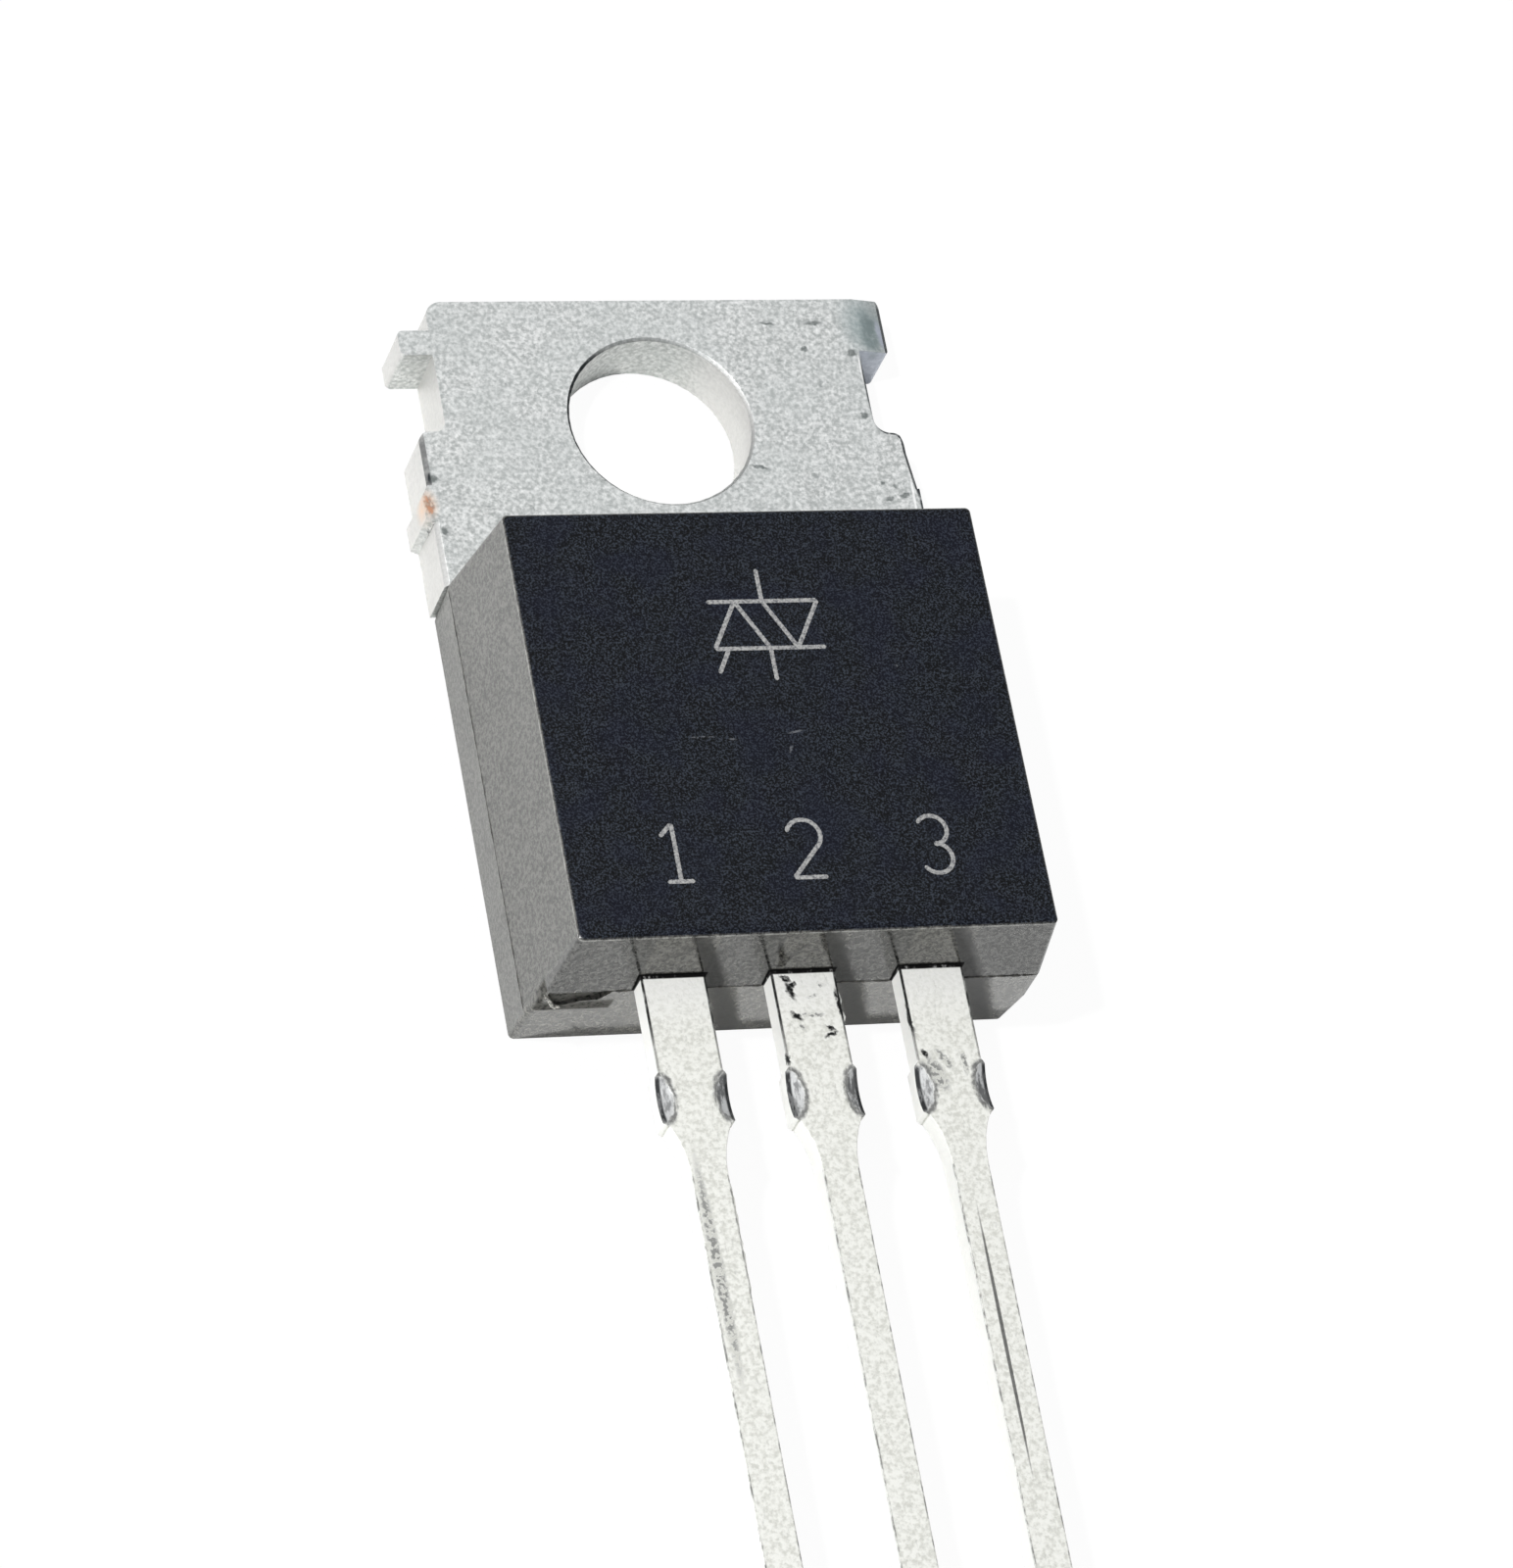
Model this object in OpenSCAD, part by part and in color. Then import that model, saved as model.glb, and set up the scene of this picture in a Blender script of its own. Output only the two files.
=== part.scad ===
// Isolated-tab thyristor in a three-lead through-hole power package.
// Millimetres. The part lies on its heatsink face: X across the leads, Y from the
// lead tips to the tab's top edge, Z from the heatsink face to the front face.
// The origin is where the mounting hole's axis meets the heatsink face.

/* [Moulded body] */
// Thickness of the body from the heatsink face to the front face
body_t = 4.43; // [4.3:0.01:4.7]
// Width of the flat front face
face_w = 9.36; // [9:0.02:9.6]
// Length of the flat front face, towards the leads
face_len = 8.91; // [8.6:0.01:9.2]
// Distance from the hole's axis to the front face's upper edge
face_drop = 3.84; // [3.7:0.01:4]
// Distance from the middle plane to the left parting line
body_left = 4.94; // [4.9:0.01:5.1]
// Distance from the middle plane to the right parting line
body_right = 5.05; // [4.9:0.01:5.1]
// How far the side walls lean back in between the parting line and the back face
side_return = 0.05; // [0.02:0.01:0.1]
// How far the upper end wall leans out between the front face and the tab
top_lean = 0.29; // [0.2:0.01:0.4]
// How far the lower end wall leans out between the front face and the leads
end_lean = 0.17; // [0.1:0.01:0.3]
// How far the lower end wall leans back in between the leads and the back face
end_return = 0.3; // [0.15:0.01:0.4]
// Radius of the body's four upright corners
corner_r = 0.1; // [0.05:0.01:0.4]
// Small break along the edges of the front face
edge_break = 0.05; // [0.02:0.01:0.12]

/* [Gate scar] */
// Width of the scar where the resin runner broke off
scar_w = 1.25; // [0.8:0.01:1.6]
// Height of the scar below the leads' parting line, near its outer end
scar_h = 0.7; // [0.3:0.01:0.9]
// Height of the scar at its inner end
scar_inner_h = 0.45; // [0.2:0.01:0.6]
// Depth of the scar in the lower end wall
scar_depth = 0.14; // [0.05:0.01:0.3]
// Distance from the scar's outer end to the middle plane
scar_x = 4.8; // [4:0.01:4.9]

/* [Heatsink tab] */
// Thickness of the copper tab
tab_t = 1.3; // [1.2:0.01:1.4]
// Distance from the hole's axis to the tab's top edge
tab_rise = 2.75; // [2.65:0.01:2.95]
// Diameter of the mounting hole
hole_d = 3.7; // [3.5:0.05:3.9]
// Rolled-in edge around the front rim of the hole
hole_roll = 0.06; // [0.02:0.01:0.12]
// Distance from the hole's axis to the end of the long right ear
ear_reach = 5.09; // [4.95:0.01:5.2]
// Distance from the hole's axis to the end of the short left ear
short_ear_reach = 5.06; // [4.95:0.01:5.2]
// How far the long ear's front drops towards its end, from the shear
ear_sag = 0.12; // [0.02:0.01:0.2]
// Width over which the long ear's front drops
ear_sag_w = 0.62; // [0.3:0.01:0.8]
// Width of the tab between the side notches
waist_w = 8.82; // [8.4:0.02:9.2]
// Width of the tab just above the body
foot_w = 9.96; // [9.8:0.02:10.2]
// Distance from the hole's axis up to the top wall of the notches
notch_top = 1.55; // [1.2:0.01:1.8]
// Distance from the hole's axis down to the bottom wall of the left notch
notch_drop_left = 0.18; // [0:0.01:0.6]
// Distance from the hole's axis down to the bottom wall of the right notch
notch_drop_right = 0.34; // [0:0.01:0.6]
// Height of the short ear on the left of the tab
short_ear_h = 0.55; // [0.3:0.01:0.7]
// Radius of the tab's top left corner
tab_corner_r = 0.35; // [0.2:0.01:0.5]
// Radius of the ears' small corners
ear_r = 0.12; // [0.05:0.01:0.2]
// Radius at the outer corner of the left lower ear
lower_ear_r_left = 0.2; // [0.1:0.01:0.3]
// Radius at the outer corner of the right lower ear
lower_ear_r_right = 0.26; // [0.1:0.01:0.3]
// Radius in the inner corner at the bottom of the left notch
notch_r_left = 0.22; // [0.1:0.01:0.25]
// Radius in the inner corner at the bottom of the right notch
notch_r_right = 0.32; // [0.1:0.01:0.35]
// Angle at which the punched ear bottom breaks away towards the back
punch_angle = 9; // [0:1:12]
// Width of the rolled-in front edge along the sides of the tab
edge_roll = 0.09; // [0.04:0.01:0.15]
// How far the sheared tie-bar stub stands out on the left
tie_out_left = 0.15; // [0.05:0.01:0.2]
// How far the sheared tie-bar stub stands out on the right
tie_out_right = 0.09; // [0.05:0.01:0.2]
// Length of the slope up to the left stub
tie_slope_left = 0.25; // [0.1:0.01:0.4]
// Length of the slope up to the right stub
tie_slope_right = 0.85; // [0.1:0.01:0.9]
// Length of the stubs' sheared ends
tie_h = 0.5; // [0.3:0.01:0.8]
// Length of the short slope below the stubs
tie_foot = 0.07; // [0.03:0.01:0.15]
// Distance from the hole's axis down to the lower end of the stubs
tie_drop = 2.18; // [2:0.01:2.4]

/* [Pad inside the body] */
// Width of the bare metal pad on the back of the body
pad_w = 7.9; // [7.4:0.05:8.2]
// Distance from the hole's axis to the pad's lower edge
pad_drop = 11.4; // [10.9:0.05:11.6]
// Width of the thin flange that locks the pad into the resin
flange_w = 8.6; // [8.4:0.05:9]
// Thickness of the locking flange
flange_t = 0.45; // [0.3:0.01:0.6]
// How far the tab's shoulder sits inside the body's upper end wall
shoulder_seat = 0.03; // [0.01:0.01:0.08]
// Width of the groove that stops moisture along the pad's front
groove_w = 0.3; // [0.2:0.01:0.4]
// Distance from the tab's shoulder to the groove
groove_drop = 0.35; // [0.3:0.01:0.45]

/* [Leads] */
// Distance between neighbouring leads
lead_pitch = 2.54; // [2.4:0.01:2.7]
// Thickness of the lead frame
lead_t = 0.5; // [0.45:0.01:0.6]
// Height of the leads' front plane above the heatsink face
lead_z = 3.03; // [2.9:0.01:3.2]
// Width of the leads next to the body
wide_w = 1.26; // [1.15:0.01:1.35]
// Width of the leads beyond the shoulders
thin_w = 0.71; // [0.6:0.01:0.85]
// Length of the leads from the body's lower end
lead_len = 13.5; // [13:0.1:14.5]
// Distance from the body's lower end to the dam-bar stubs
stub_gap = 1.93; // [1.6:0.01:2.2]
// Length of the dam-bar stubs along the lead
stub_len = 1.08; // [0.8:0.01:1.3]
// How far the dam-bar stubs stand out on each side
stub_out = 0.07; // [0.03:0.01:0.15]
// Length of the curved shoulders below the stubs
shoulder_len = 1; // [0.7:0.01:1.3]
// How far the shoulders start inside the wide part's edges
shoulder_step = 0.03; // [0.01:0.01:0.06]
// Reach of the punched dimples in from the stubs' edges
dimple_reach = 0.3; // [0.2:0.01:0.34]
// Depth of the punched dimples at the stubs' edges
dimple_depth = 0.14; // [0.04:0.01:0.2]
// Bevel at the lead tips
tip_bevel = 0.14; // [0.05:0.01:0.2]

/* [Lead ends inside the body] */
// Width of the wire landings on the two outer leads
landing_w = 2.35; // [2:0.05:2.5]
// Length of the wire landings
landing_len = 1.15; // [1:0.05:1.3]
// Distance from the body's lower end to the landings
landing_gap = 0.78; // [0.65:0.01:0.9]
// Width of the centre lead's foot
lead_foot_w = 1.6; // [1.4:0.05:1.8]
// Length of the centre lead's foot on the upper foil
lead_foot_len = 0.9; // [0.7:0.05:1]
// Length of the sloping step above the foot
joggle_len = 0.75; // [0.6:0.05:0.9]

/* [Isolating stack] */
// Width of the ceramic insulator
plate_w = 7.4; // [7:0.05:7.8]
// Length of the ceramic insulator
plate_len = 7; // [6.8:0.05:7.2]
// Thickness of the ceramic insulator
plate_t = 0.38; // [0.3:0.01:0.4]
// Distance from the hole's axis to the middle of the insulator
plate_drop = 7.6; // [7.5:0.05:7.7]
// Rim of bare ceramic around the copper foils
plate_rim = 0.45; // [0.35:0.01:0.6]
// Thickness of each copper foil on the ceramic
foil_t = 0.2; // [0.15:0.01:0.22]
// Thickness of the solder under the insulator
plate_solder_t = 0.08; // [0.05:0.01:0.1]
// Thickness of the solder under the chip and under the centre lead
chip_solder_t = 0.05; // [0.04:0.01:0.07]

/* [Chip] */
// Side of the square silicon chip
die_w = 4.2; // [3.8:0.05:4.4]
// Thickness of the silicon chip
die_t = 0.25; // [0.2:0.01:0.28]
// Distance from the hole's axis to the middle of the chip
die_drop = 7.2; // [7:0.05:7.3]
// Bare rim around the contacts on the chip
die_rim = 0.3; // [0.2:0.01:0.4]
// Side of the square gate contact
gate_w = 0.9; // [0.8:0.05:1.1]
// Gap between the gate contact and the main contact
contact_gap = 0.15; // [0.1:0.01:0.25]
// Thickness of the metal contacts
contact_t = 0.03; // [0.02:0.005:0.04]

/* [Bond wires] */
// Diameter of the two main wires
main_wire_d = 0.38; // [0.3:0.01:0.42]
// Diameter of the gate wire
gate_wire_d = 0.2; // [0.15:0.01:0.25]
// Distance between the two main wires
wire_gap = 0.8; // [0.7:0.05:1]
// Height of the wires' arch above the straight line between their ends
wire_rise = 0.6; // [0.5:0.05:0.7]

/* [Hidden] */
$fn = 64;

// thin slice and cutting margins
slice = 0.01;
past = 0.5;
corner_fn = 32;

// heights of the layers above the heatsink face
lead_back_z = lead_z - lead_t;
lower_foil_z = tab_t + plate_solder_t;
plate_z = lower_foil_z + foil_t;
upper_foil_z = plate_z + plate_t;
stack_z = upper_foil_z + foil_t;
die_z = stack_z + chip_solder_t;
contact_z = die_z + die_t;
bond_z = contact_z + contact_t;

// places along the part
face_top_y = -face_drop;
face_end_y = face_top_y - face_len;
wall_top_y = face_top_y + top_lean;
body_end_y = face_end_y - end_lean;
back_end_y = body_end_y + end_return;
shoulder_y = wall_top_y - shoulder_seat;
stub_y = body_end_y - stub_gap;
shoulder_top_y = stub_y - stub_len;
shoulder_end_y = shoulder_top_y - shoulder_len;
tip_y = body_end_y - lead_len;
landing_y = body_end_y + landing_gap;
foil_len = plate_len - 2 * plate_rim;
foil_w = plate_w - 2 * plate_rim;
foot_y = -plate_drop - foil_len / 2 + plate_rim / 3;
joggle_y = foot_y - joggle_len;

// where the drafted side wall from a parting line stands at a height in front of it
function side_x(parting, z) = parting - (parting - face_w / 2) * (z - tab_t) / (body_t - tab_t);

// radius of an arc that steps in by step over a length
function arc_radius(step, length) = (length * length + step * step) / (2 * step);

// --- heatsink tab -----------------------------------------------------------

// square corner less its quarter circle, to round the corner at [x, y]
module corner_waste(x, y, r, sx, sy) {
    translate([x, y]) scale([sx, sy]) difference() {
        translate([-r, -r]) square(r + past);
        translate([-r, -r]) circle(r);
    }
}

module ear(side, reach, y0, y1) {
    x0 = waist_w / 2 - past;
    translate([side > 0 ? x0 : -reach, y0]) square([reach - x0, y1 - y0]);
}

module notch_fillet(side, drop, r) {
    translate([side * waist_w / 2, -drop]) scale([side, 1]) difference() {
        translate([-r, -r]) square(2 * r);
        translate([r, r]) circle(r);
    }
}

// outline of what the shear left of a tie bar, from its lower to its upper end on the right
function stub_edge(out, slope) = [
    [foot_w / 2, -tie_drop],
    [foot_w / 2 + out, tie_foot - tie_drop],
    [foot_w / 2 + out, tie_foot - tie_drop + tie_h],
    [foot_w / 2, tie_foot - tie_drop + tie_h + slope]
];

module tie_stub(side, out, slope) {
    edge = stub_edge(out, slope);
    scale([side, 1]) polygon([edge[0] - [past, 0], each edge, edge[3] - [past, 0]]);
}

// lower ear with its notch's bottom, its outer corner and its tie-bar stub
module lower_ear(side, drop, fillet_r, r, out, slope) {
    difference() {
        ear(side, foot_w / 2, shoulder_y, -drop);
        corner_waste(side * foot_w / 2, -drop, r, side, 1);
    }
    notch_fillet(side, drop, fillet_r);
    tie_stub(side, out, slope);
}

module tab_outline() {
    difference() {
        union() {
            translate([-waist_w / 2, shoulder_y]) square([waist_w, tab_rise - shoulder_y]);
            ear(1, ear_reach, notch_top, tab_rise);
            ear(-1, short_ear_reach, notch_top, notch_top + short_ear_h);
        }
        corner_waste(-waist_w / 2, tab_rise, tab_corner_r, -1, 1);
        corner_waste(ear_reach, tab_rise, ear_r, 1, 1);
        corner_waste(ear_reach, notch_top, ear_r, 1, -1);
        corner_waste(-short_ear_reach, notch_top + short_ear_h, ear_r, -1, 1);
        corner_waste(-short_ear_reach, notch_top, ear_r, -1, -1);
    }
    lower_ear(-1, notch_drop_left, notch_r_left, lower_ear_r_left, tie_out_left, tie_slope_left);
    lower_ear(1, notch_drop_right, notch_r_right, lower_ear_r_right, tie_out_right, tie_slope_right);
}

// prism that takes a slope, w wide and deep, off the front edge that runs from a to b,
// each [x, y], with the tab on the left of that way
module roll_edge(a, b, w = edge_roll, deep = edge_roll, z = tab_t) {
    run = b - a;
    rise = past * deep / w;
    translate([a.x, a.y, z]) rotate([0, 0, atan2(run.y, run.x)]) translate([-slice, 0, 0])
        rotate([90, 0, 90]) linear_extrude(norm(run) + 2 * slice)
            polygon([[w + past, rise], [-past, rise], [-past, -deep - rise]]);
}

module rolled_edges() {
    ear_low = [ear_reach, notch_top - past];
    ear_high = [ear_reach, tab_rise + past];
    roll_edge(ear_low, ear_high, ear_sag_w, ear_sag);
    roll_edge(ear_low, ear_high, z = tab_t - ear_sag * (1 - edge_roll / ear_sag_w));
    right = stub_edge(tie_out_right, tie_slope_right);
    roll_edge(right[2], right[3]);
    roll_edge(right[3], [foot_w / 2, -notch_drop_right]);
    left_end = stub_edge(tie_out_left, tie_slope_left)[3];
    roll_edge([-foot_w / 2, -notch_drop_left], [-left_end.x, left_end.y]);
    roll_edge([-foot_w / 2, -tie_drop], [-foot_w / 2, shoulder_y]);
    roll_edge([foot_w / 2, shoulder_y], [foot_w / 2, -tie_drop]);
}

module pad() {
    pad_top = shoulder_y + past;
    translate([-pad_w / 2, -pad_drop, 0]) cube([pad_w, pad_top + pad_drop, tab_t]);
    translate([-flange_w / 2, -pad_drop, tab_t - flange_t])
        cube([flange_w, pad_top + pad_drop, flange_t]);
}

module heatsink_tab() {
    color([0.78, 0.80, 0.79]) difference() {
        union() {
            linear_extrude(tab_t) tab_outline();
            pad();
        }
        translate([0, 0, -past]) cylinder(h = tab_t + 2 * past, d = hole_d);
        translate([0, 0, tab_t - hole_roll])
            cylinder(h = 2 * hole_roll, d1 = hole_d, d2 = hole_d + 4 * hole_roll);
        // the punched bottoms of the upper ears slope up towards the back
        for (side = [-1, 1])
            translate([side * (waist_w / 2 + past), notch_top, tab_t]) rotate([-punch_angle, 0, 0])
                translate([-past, -2 * past, -2 * tab_t]) cube([2 * past, 2 * past, 2 * tab_t]);
        rolled_edges();
        translate([0, shoulder_y - groove_drop, tab_t]) rotate([45, 0, 0])
            cube([flange_w + past, groove_w / sqrt(2), groove_w / sqrt(2)], center = true);
    }
}

// --- leads ------------------------------------------------------------------

// one lead's flat outline, from inside the body to its tip, centred on x = 0
module lead_outline(inner_y) {
    shoulder_half = wide_w / 2 - shoulder_step;
    r = arc_radius(shoulder_half - thin_w / 2, shoulder_len);
    translate([-wide_w / 2, shoulder_top_y]) square([wide_w, inner_y - shoulder_top_y]);
    polygon([
        for (side = [-1, 1]) each [
            [side * wide_w / 2, side < 0 ? shoulder_top_y : stub_y],
            [side * (wide_w / 2 + stub_out), side < 0 ? shoulder_top_y + stub_out : stub_y - stub_out],
            [side * (wide_w / 2 + stub_out), side < 0 ? stub_y - stub_out : shoulder_top_y + stub_out],
            [side * wide_w / 2, side < 0 ? stub_y : shoulder_top_y]
        ]
    ]);
    difference() {
        translate([-shoulder_half, shoulder_end_y]) square([2 * shoulder_half, shoulder_len]);
        for (side = [-1, 1]) translate([side * (thin_w / 2 + r), shoulder_end_y]) circle(r);
    }
    translate([-thin_w / 2, tip_y + tip_bevel]) square([thin_w, shoulder_end_y - tip_y - tip_bevel]);
    polygon([
        [-thin_w / 2, tip_y + tip_bevel], [thin_w / 2, tip_y + tip_bevel],
        [thin_w / 2 - tip_bevel, tip_y], [-thin_w / 2 + tip_bevel, tip_y]
    ]);
}

// ball whose cap presses a D-shaped dimple into the front of a dam-bar stub
module dimple_ball(side) {
    edge = wide_w / 2 + stub_out;
    rim_r = arc_radius(dimple_reach, stub_len / 2);
    edge_off = rim_r - dimple_reach;
    ball_r = (rim_r * rim_r - edge_off * edge_off) / (2 * dimple_depth) + dimple_depth / 2;
    translate([side * (edge + edge_off), stub_y - stub_len / 2,
            lead_z + sqrt(ball_r * ball_r - rim_r * rim_r)])
        sphere(ball_r);
}

module lead_blank(inner_y) {
    difference() {
        translate([0, 0, lead_back_z]) linear_extrude(lead_t) lead_outline(inner_y);
        for (side = [-1, 1]) dimple_ball(side);
    }
}

// outer lead with its wire landing; side is -1 on the left and 1 on the right
module outer_lead(side) {
    translate([side * lead_pitch, 0, 0]) lead_blank(landing_y + landing_len / 2);
    landing_in = lead_pitch - wide_w / 2;
    translate([side > 0 ? landing_in : -landing_in - landing_w, landing_y, lead_back_z])
        cube([landing_w, landing_len, lead_t]);
}

module main_lead_1() {
    color([0.86, 0.87, 0.85]) outer_lead(-1);
}

module gate_lead() {
    color([0.86, 0.87, 0.85]) outer_lead(1);
}

module main_lead_2() {
    lap_y = landing_y - past / 4;
    color([0.86, 0.87, 0.85]) {
        lead_blank(lap_y);
        translate([-lead_foot_w / 2, 0, 0]) rotate([90, 0, 90]) linear_extrude(lead_foot_w) polygon([
            [lap_y, lead_back_z], [joggle_y, lead_back_z], [foot_y, die_z],
            [foot_y + lead_foot_len, die_z], [foot_y + lead_foot_len, die_z + lead_t],
            [foot_y + joggle_len / 6, die_z + lead_t], [joggle_y + joggle_len / 6, lead_z], [lap_y, lead_z]
        ]);
    }
}

// --- isolating stack and chip -------------------------------------------------

// flat sheet centred on x = 0 at a distance below the hole's axis
module sheet(w, len, drop, z, t) {
    translate([-w / 2, -drop - len / 2, z]) cube([w, len, t]);
}

module plate_solder() {
    color([0.62, 0.63, 0.64]) sheet(foil_w, foil_len, plate_drop, tab_t, plate_solder_t);
}

module lower_foil() {
    color([0.80, 0.48, 0.32]) sheet(foil_w, foil_len, plate_drop, lower_foil_z, foil_t);
}

module insulator_plate() {
    color([0.93, 0.92, 0.88]) sheet(plate_w, plate_len, plate_drop, plate_z, plate_t);
}

module upper_foil() {
    color([0.80, 0.48, 0.32]) sheet(foil_w, foil_len, plate_drop, upper_foil_z, foil_t);
}

module lead_solder() {
    color([0.62, 0.63, 0.64]) translate([-lead_foot_w / 2, foot_y, stack_z])
        cube([lead_foot_w, lead_foot_len, chip_solder_t]);
}

module die_solder() {
    color([0.62, 0.63, 0.64]) sheet(die_w, die_w, die_drop, stack_z, chip_solder_t);
}

module silicon_die() {
    color([0.30, 0.31, 0.36]) sheet(die_w, die_w, die_drop, die_z, die_t);
}

contact_w = die_w - 2 * die_rim;
gate_x = contact_w / 2 - gate_w / 2;
gate_y = -die_drop - contact_w / 2 + gate_w / 2;

module gate_contact() {
    color([0.85, 0.85, 0.86]) translate([gate_x - gate_w / 2, gate_y - gate_w / 2, contact_z])
        cube([gate_w, gate_w, contact_t]);
}

module main_contact() {
    keep_off = gate_w + contact_gap;
    color([0.85, 0.85, 0.86]) difference() {
        sheet(contact_w, contact_w, die_drop, contact_z, contact_t);
        translate([contact_w / 2 - keep_off, -die_drop - contact_w / 2 - past, contact_z - past])
            cube([keep_off + past, keep_off + past, contact_t + 2 * past]);
    }
}

// --- bond wires ---------------------------------------------------------------

// round wire arched from a on the chip to b on a lead, each [x, y], cut flush with both
module arched_wire(a, b, d) {
    run = norm(b - a);
    climb = lead_z - bond_z;
    chord = norm([run, climb]);
    tilt = atan2(climb, run);
    r = arc_radius(wire_rise, chord / 2);
    half = asin(chord / 2 / r);
    spare = 360 * d / (2 * PI * r);
    translate([a.x, a.y, bond_z]) rotate([0, 0, atan2(b.y - a.y, b.x - a.x)]) difference() {
        rotate([90, 0, 0]) rotate([0, 0, tilt]) translate([chord / 2, wire_rise - r])
            rotate([0, 0, 90 - half - spare]) rotate_extrude(angle = 2 * (half + spare))
                translate([r, 0]) circle(d = d, $fn = corner_fn);
        translate([-run / 2, -run / 2, -2 * past]) cube([run, run, 2 * past]);
        translate([run / 2 + past, -run / 2, climb - 2 * past]) cube([run, run, 2 * past]);
    }
}

landing_mid = lead_pitch - wide_w / 2 + landing_w / 2;
bond_y = landing_y + landing_len / 2;

module main_wire(k) {
    start = [-die_w / 6 - k * wire_gap, -die_drop - k * wire_gap / 4];
    finish = [-landing_mid + wire_gap / 2 - k * wire_gap, bond_y];
    color([0.84, 0.84, 0.85]) arched_wire(start, finish, main_wire_d);
}

module main_wire_1() {
    main_wire(0);
}

module main_wire_2() {
    main_wire(1);
}

module gate_wire() {
    color([0.84, 0.84, 0.85]) arched_wire([gate_x, gate_y], [landing_mid, bond_y], gate_wire_d);
}

// --- moulded body ---------------------------------------------------------------

// four thin corner discs of one level of the drafted block
module level(z, left, right, y0, y1) {
    for (x = [corner_r - left, right - corner_r], y = [y0 + corner_r, y1 - corner_r])
        translate([x, y, z]) cylinder(h = slice, r = corner_r, $fn = corner_fn);
}

module drafted_block() {
    face_half = face_w / 2;
    hull() {
        level(0, body_left - side_return, body_right - side_return, back_end_y, shoulder_y + slice);
        level(tab_t - slice, body_left, body_right, body_end_y + end_return / 2, wall_top_y);
        level(lead_back_z - slice, side_x(body_left, lead_back_z), side_x(body_right, lead_back_z),
            body_end_y, wall_top_y - top_lean * (lead_back_z - tab_t) / (body_t - tab_t));
        level(body_t - edge_break, face_half + edge_break / 4, face_half + edge_break / 4,
            face_end_y - edge_break / 4, face_top_y + edge_break / 4);
        level(body_t - slice, face_half - edge_break, face_half - edge_break,
            face_end_y + edge_break, face_top_y - edge_break);
    }
}

// ragged pocket that the broken resin runner left below the leads' parting line
module gate_scar() {
    translate([-scar_x, body_end_y + scar_depth, lead_back_z]) rotate([90, 0, 0])
        linear_extrude(past + scar_depth) polygon([
            [0, 0], [scar_w, 0], [scar_w * 0.93, -scar_inner_h / 2], [scar_w * 0.85, -scar_inner_h],
            [scar_w * 0.6, -scar_inner_h * 1.05], [scar_w / 3, -scar_h * 0.95],
            [scar_w / 4, -scar_h], [scar_w / 8, -scar_h * 0.6], [0, -scar_h / 5]
        ]);
}

module mold_body() {
    color([0.12, 0.13, 0.16]) difference() {
        drafted_block();
        heatsink_tab();
        main_lead_1();
        main_lead_2();
        gate_lead();
        plate_solder();
        lower_foil();
        insulator_plate();
        upper_foil();
        lead_solder();
        die_solder();
        silicon_die();
        main_contact();
        gate_contact();
        main_wire_1();
        main_wire_2();
        gate_wire();
        gate_scar();
    }
}

heatsink_tab();
mold_body();
main_lead_1();
main_lead_2();
gate_lead();
plate_solder();
lower_foil();
insulator_plate();
upper_foil();
lead_solder();
die_solder();
silicon_die();
main_contact();
gate_contact();
main_wire_1();
main_wire_2();
gate_wire();
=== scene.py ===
import math
import random

import bmesh
import bpy
from mathutils import Matrix, Vector


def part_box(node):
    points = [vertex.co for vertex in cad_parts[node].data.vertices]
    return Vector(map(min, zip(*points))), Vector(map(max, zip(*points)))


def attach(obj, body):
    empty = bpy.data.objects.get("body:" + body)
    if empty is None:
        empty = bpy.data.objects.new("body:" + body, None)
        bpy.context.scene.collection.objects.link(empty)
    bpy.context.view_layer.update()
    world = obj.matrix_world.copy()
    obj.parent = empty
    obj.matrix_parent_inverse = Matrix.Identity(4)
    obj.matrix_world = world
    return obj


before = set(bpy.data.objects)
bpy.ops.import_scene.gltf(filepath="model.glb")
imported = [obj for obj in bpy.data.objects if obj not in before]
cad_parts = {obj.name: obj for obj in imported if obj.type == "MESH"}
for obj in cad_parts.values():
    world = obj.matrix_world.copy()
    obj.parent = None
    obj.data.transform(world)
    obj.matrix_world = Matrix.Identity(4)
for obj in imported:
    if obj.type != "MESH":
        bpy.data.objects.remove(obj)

bl_info = {
    "name": "Isolated-tab thyristor",
    "version": (1, 0, 0),
    "blender": (4, 5, 0),
    "location": "3D View > Sidebar > Thyristor",
    "description": "Finishes, marking and studio for a three-lead power thyristor",
    "category": "Object",
}

MM = 0.001
LEADS = ("main_lead_1", "main_lead_2", "gate_lead")

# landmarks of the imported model, in millimetres
BODY_LOW, BODY_HIGH = (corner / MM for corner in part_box("mold_body"))
LEAD_LOW, LEAD_HIGH = (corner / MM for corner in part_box("gate_lead"))
FACE_Z = BODY_HIGH.z
TAB_Z = (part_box("heatsink_tab")[1] / MM).z
LEAD_Z = LEAD_HIGH.z
LEAD_BACK_Z = LEAD_LOW.z
END_Y = BODY_LOW.y
TIP_Y = LEAD_LOW.y
TOP_WALL_Y = BODY_HIGH.y

# sizes of the lead frame, in millimetres
PITCH = 2.54
LEAD_HALF = 0.63
THIN_HALF = 0.355
STUB_Y = END_Y - 1.93
STUB_LENGTH = 1.08
THIN_Y = STUB_Y - STUB_LENGTH - 1.0
ROW_HALF = 1.5 * PITCH      # from the middle lead to half a pitch beyond the last

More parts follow.
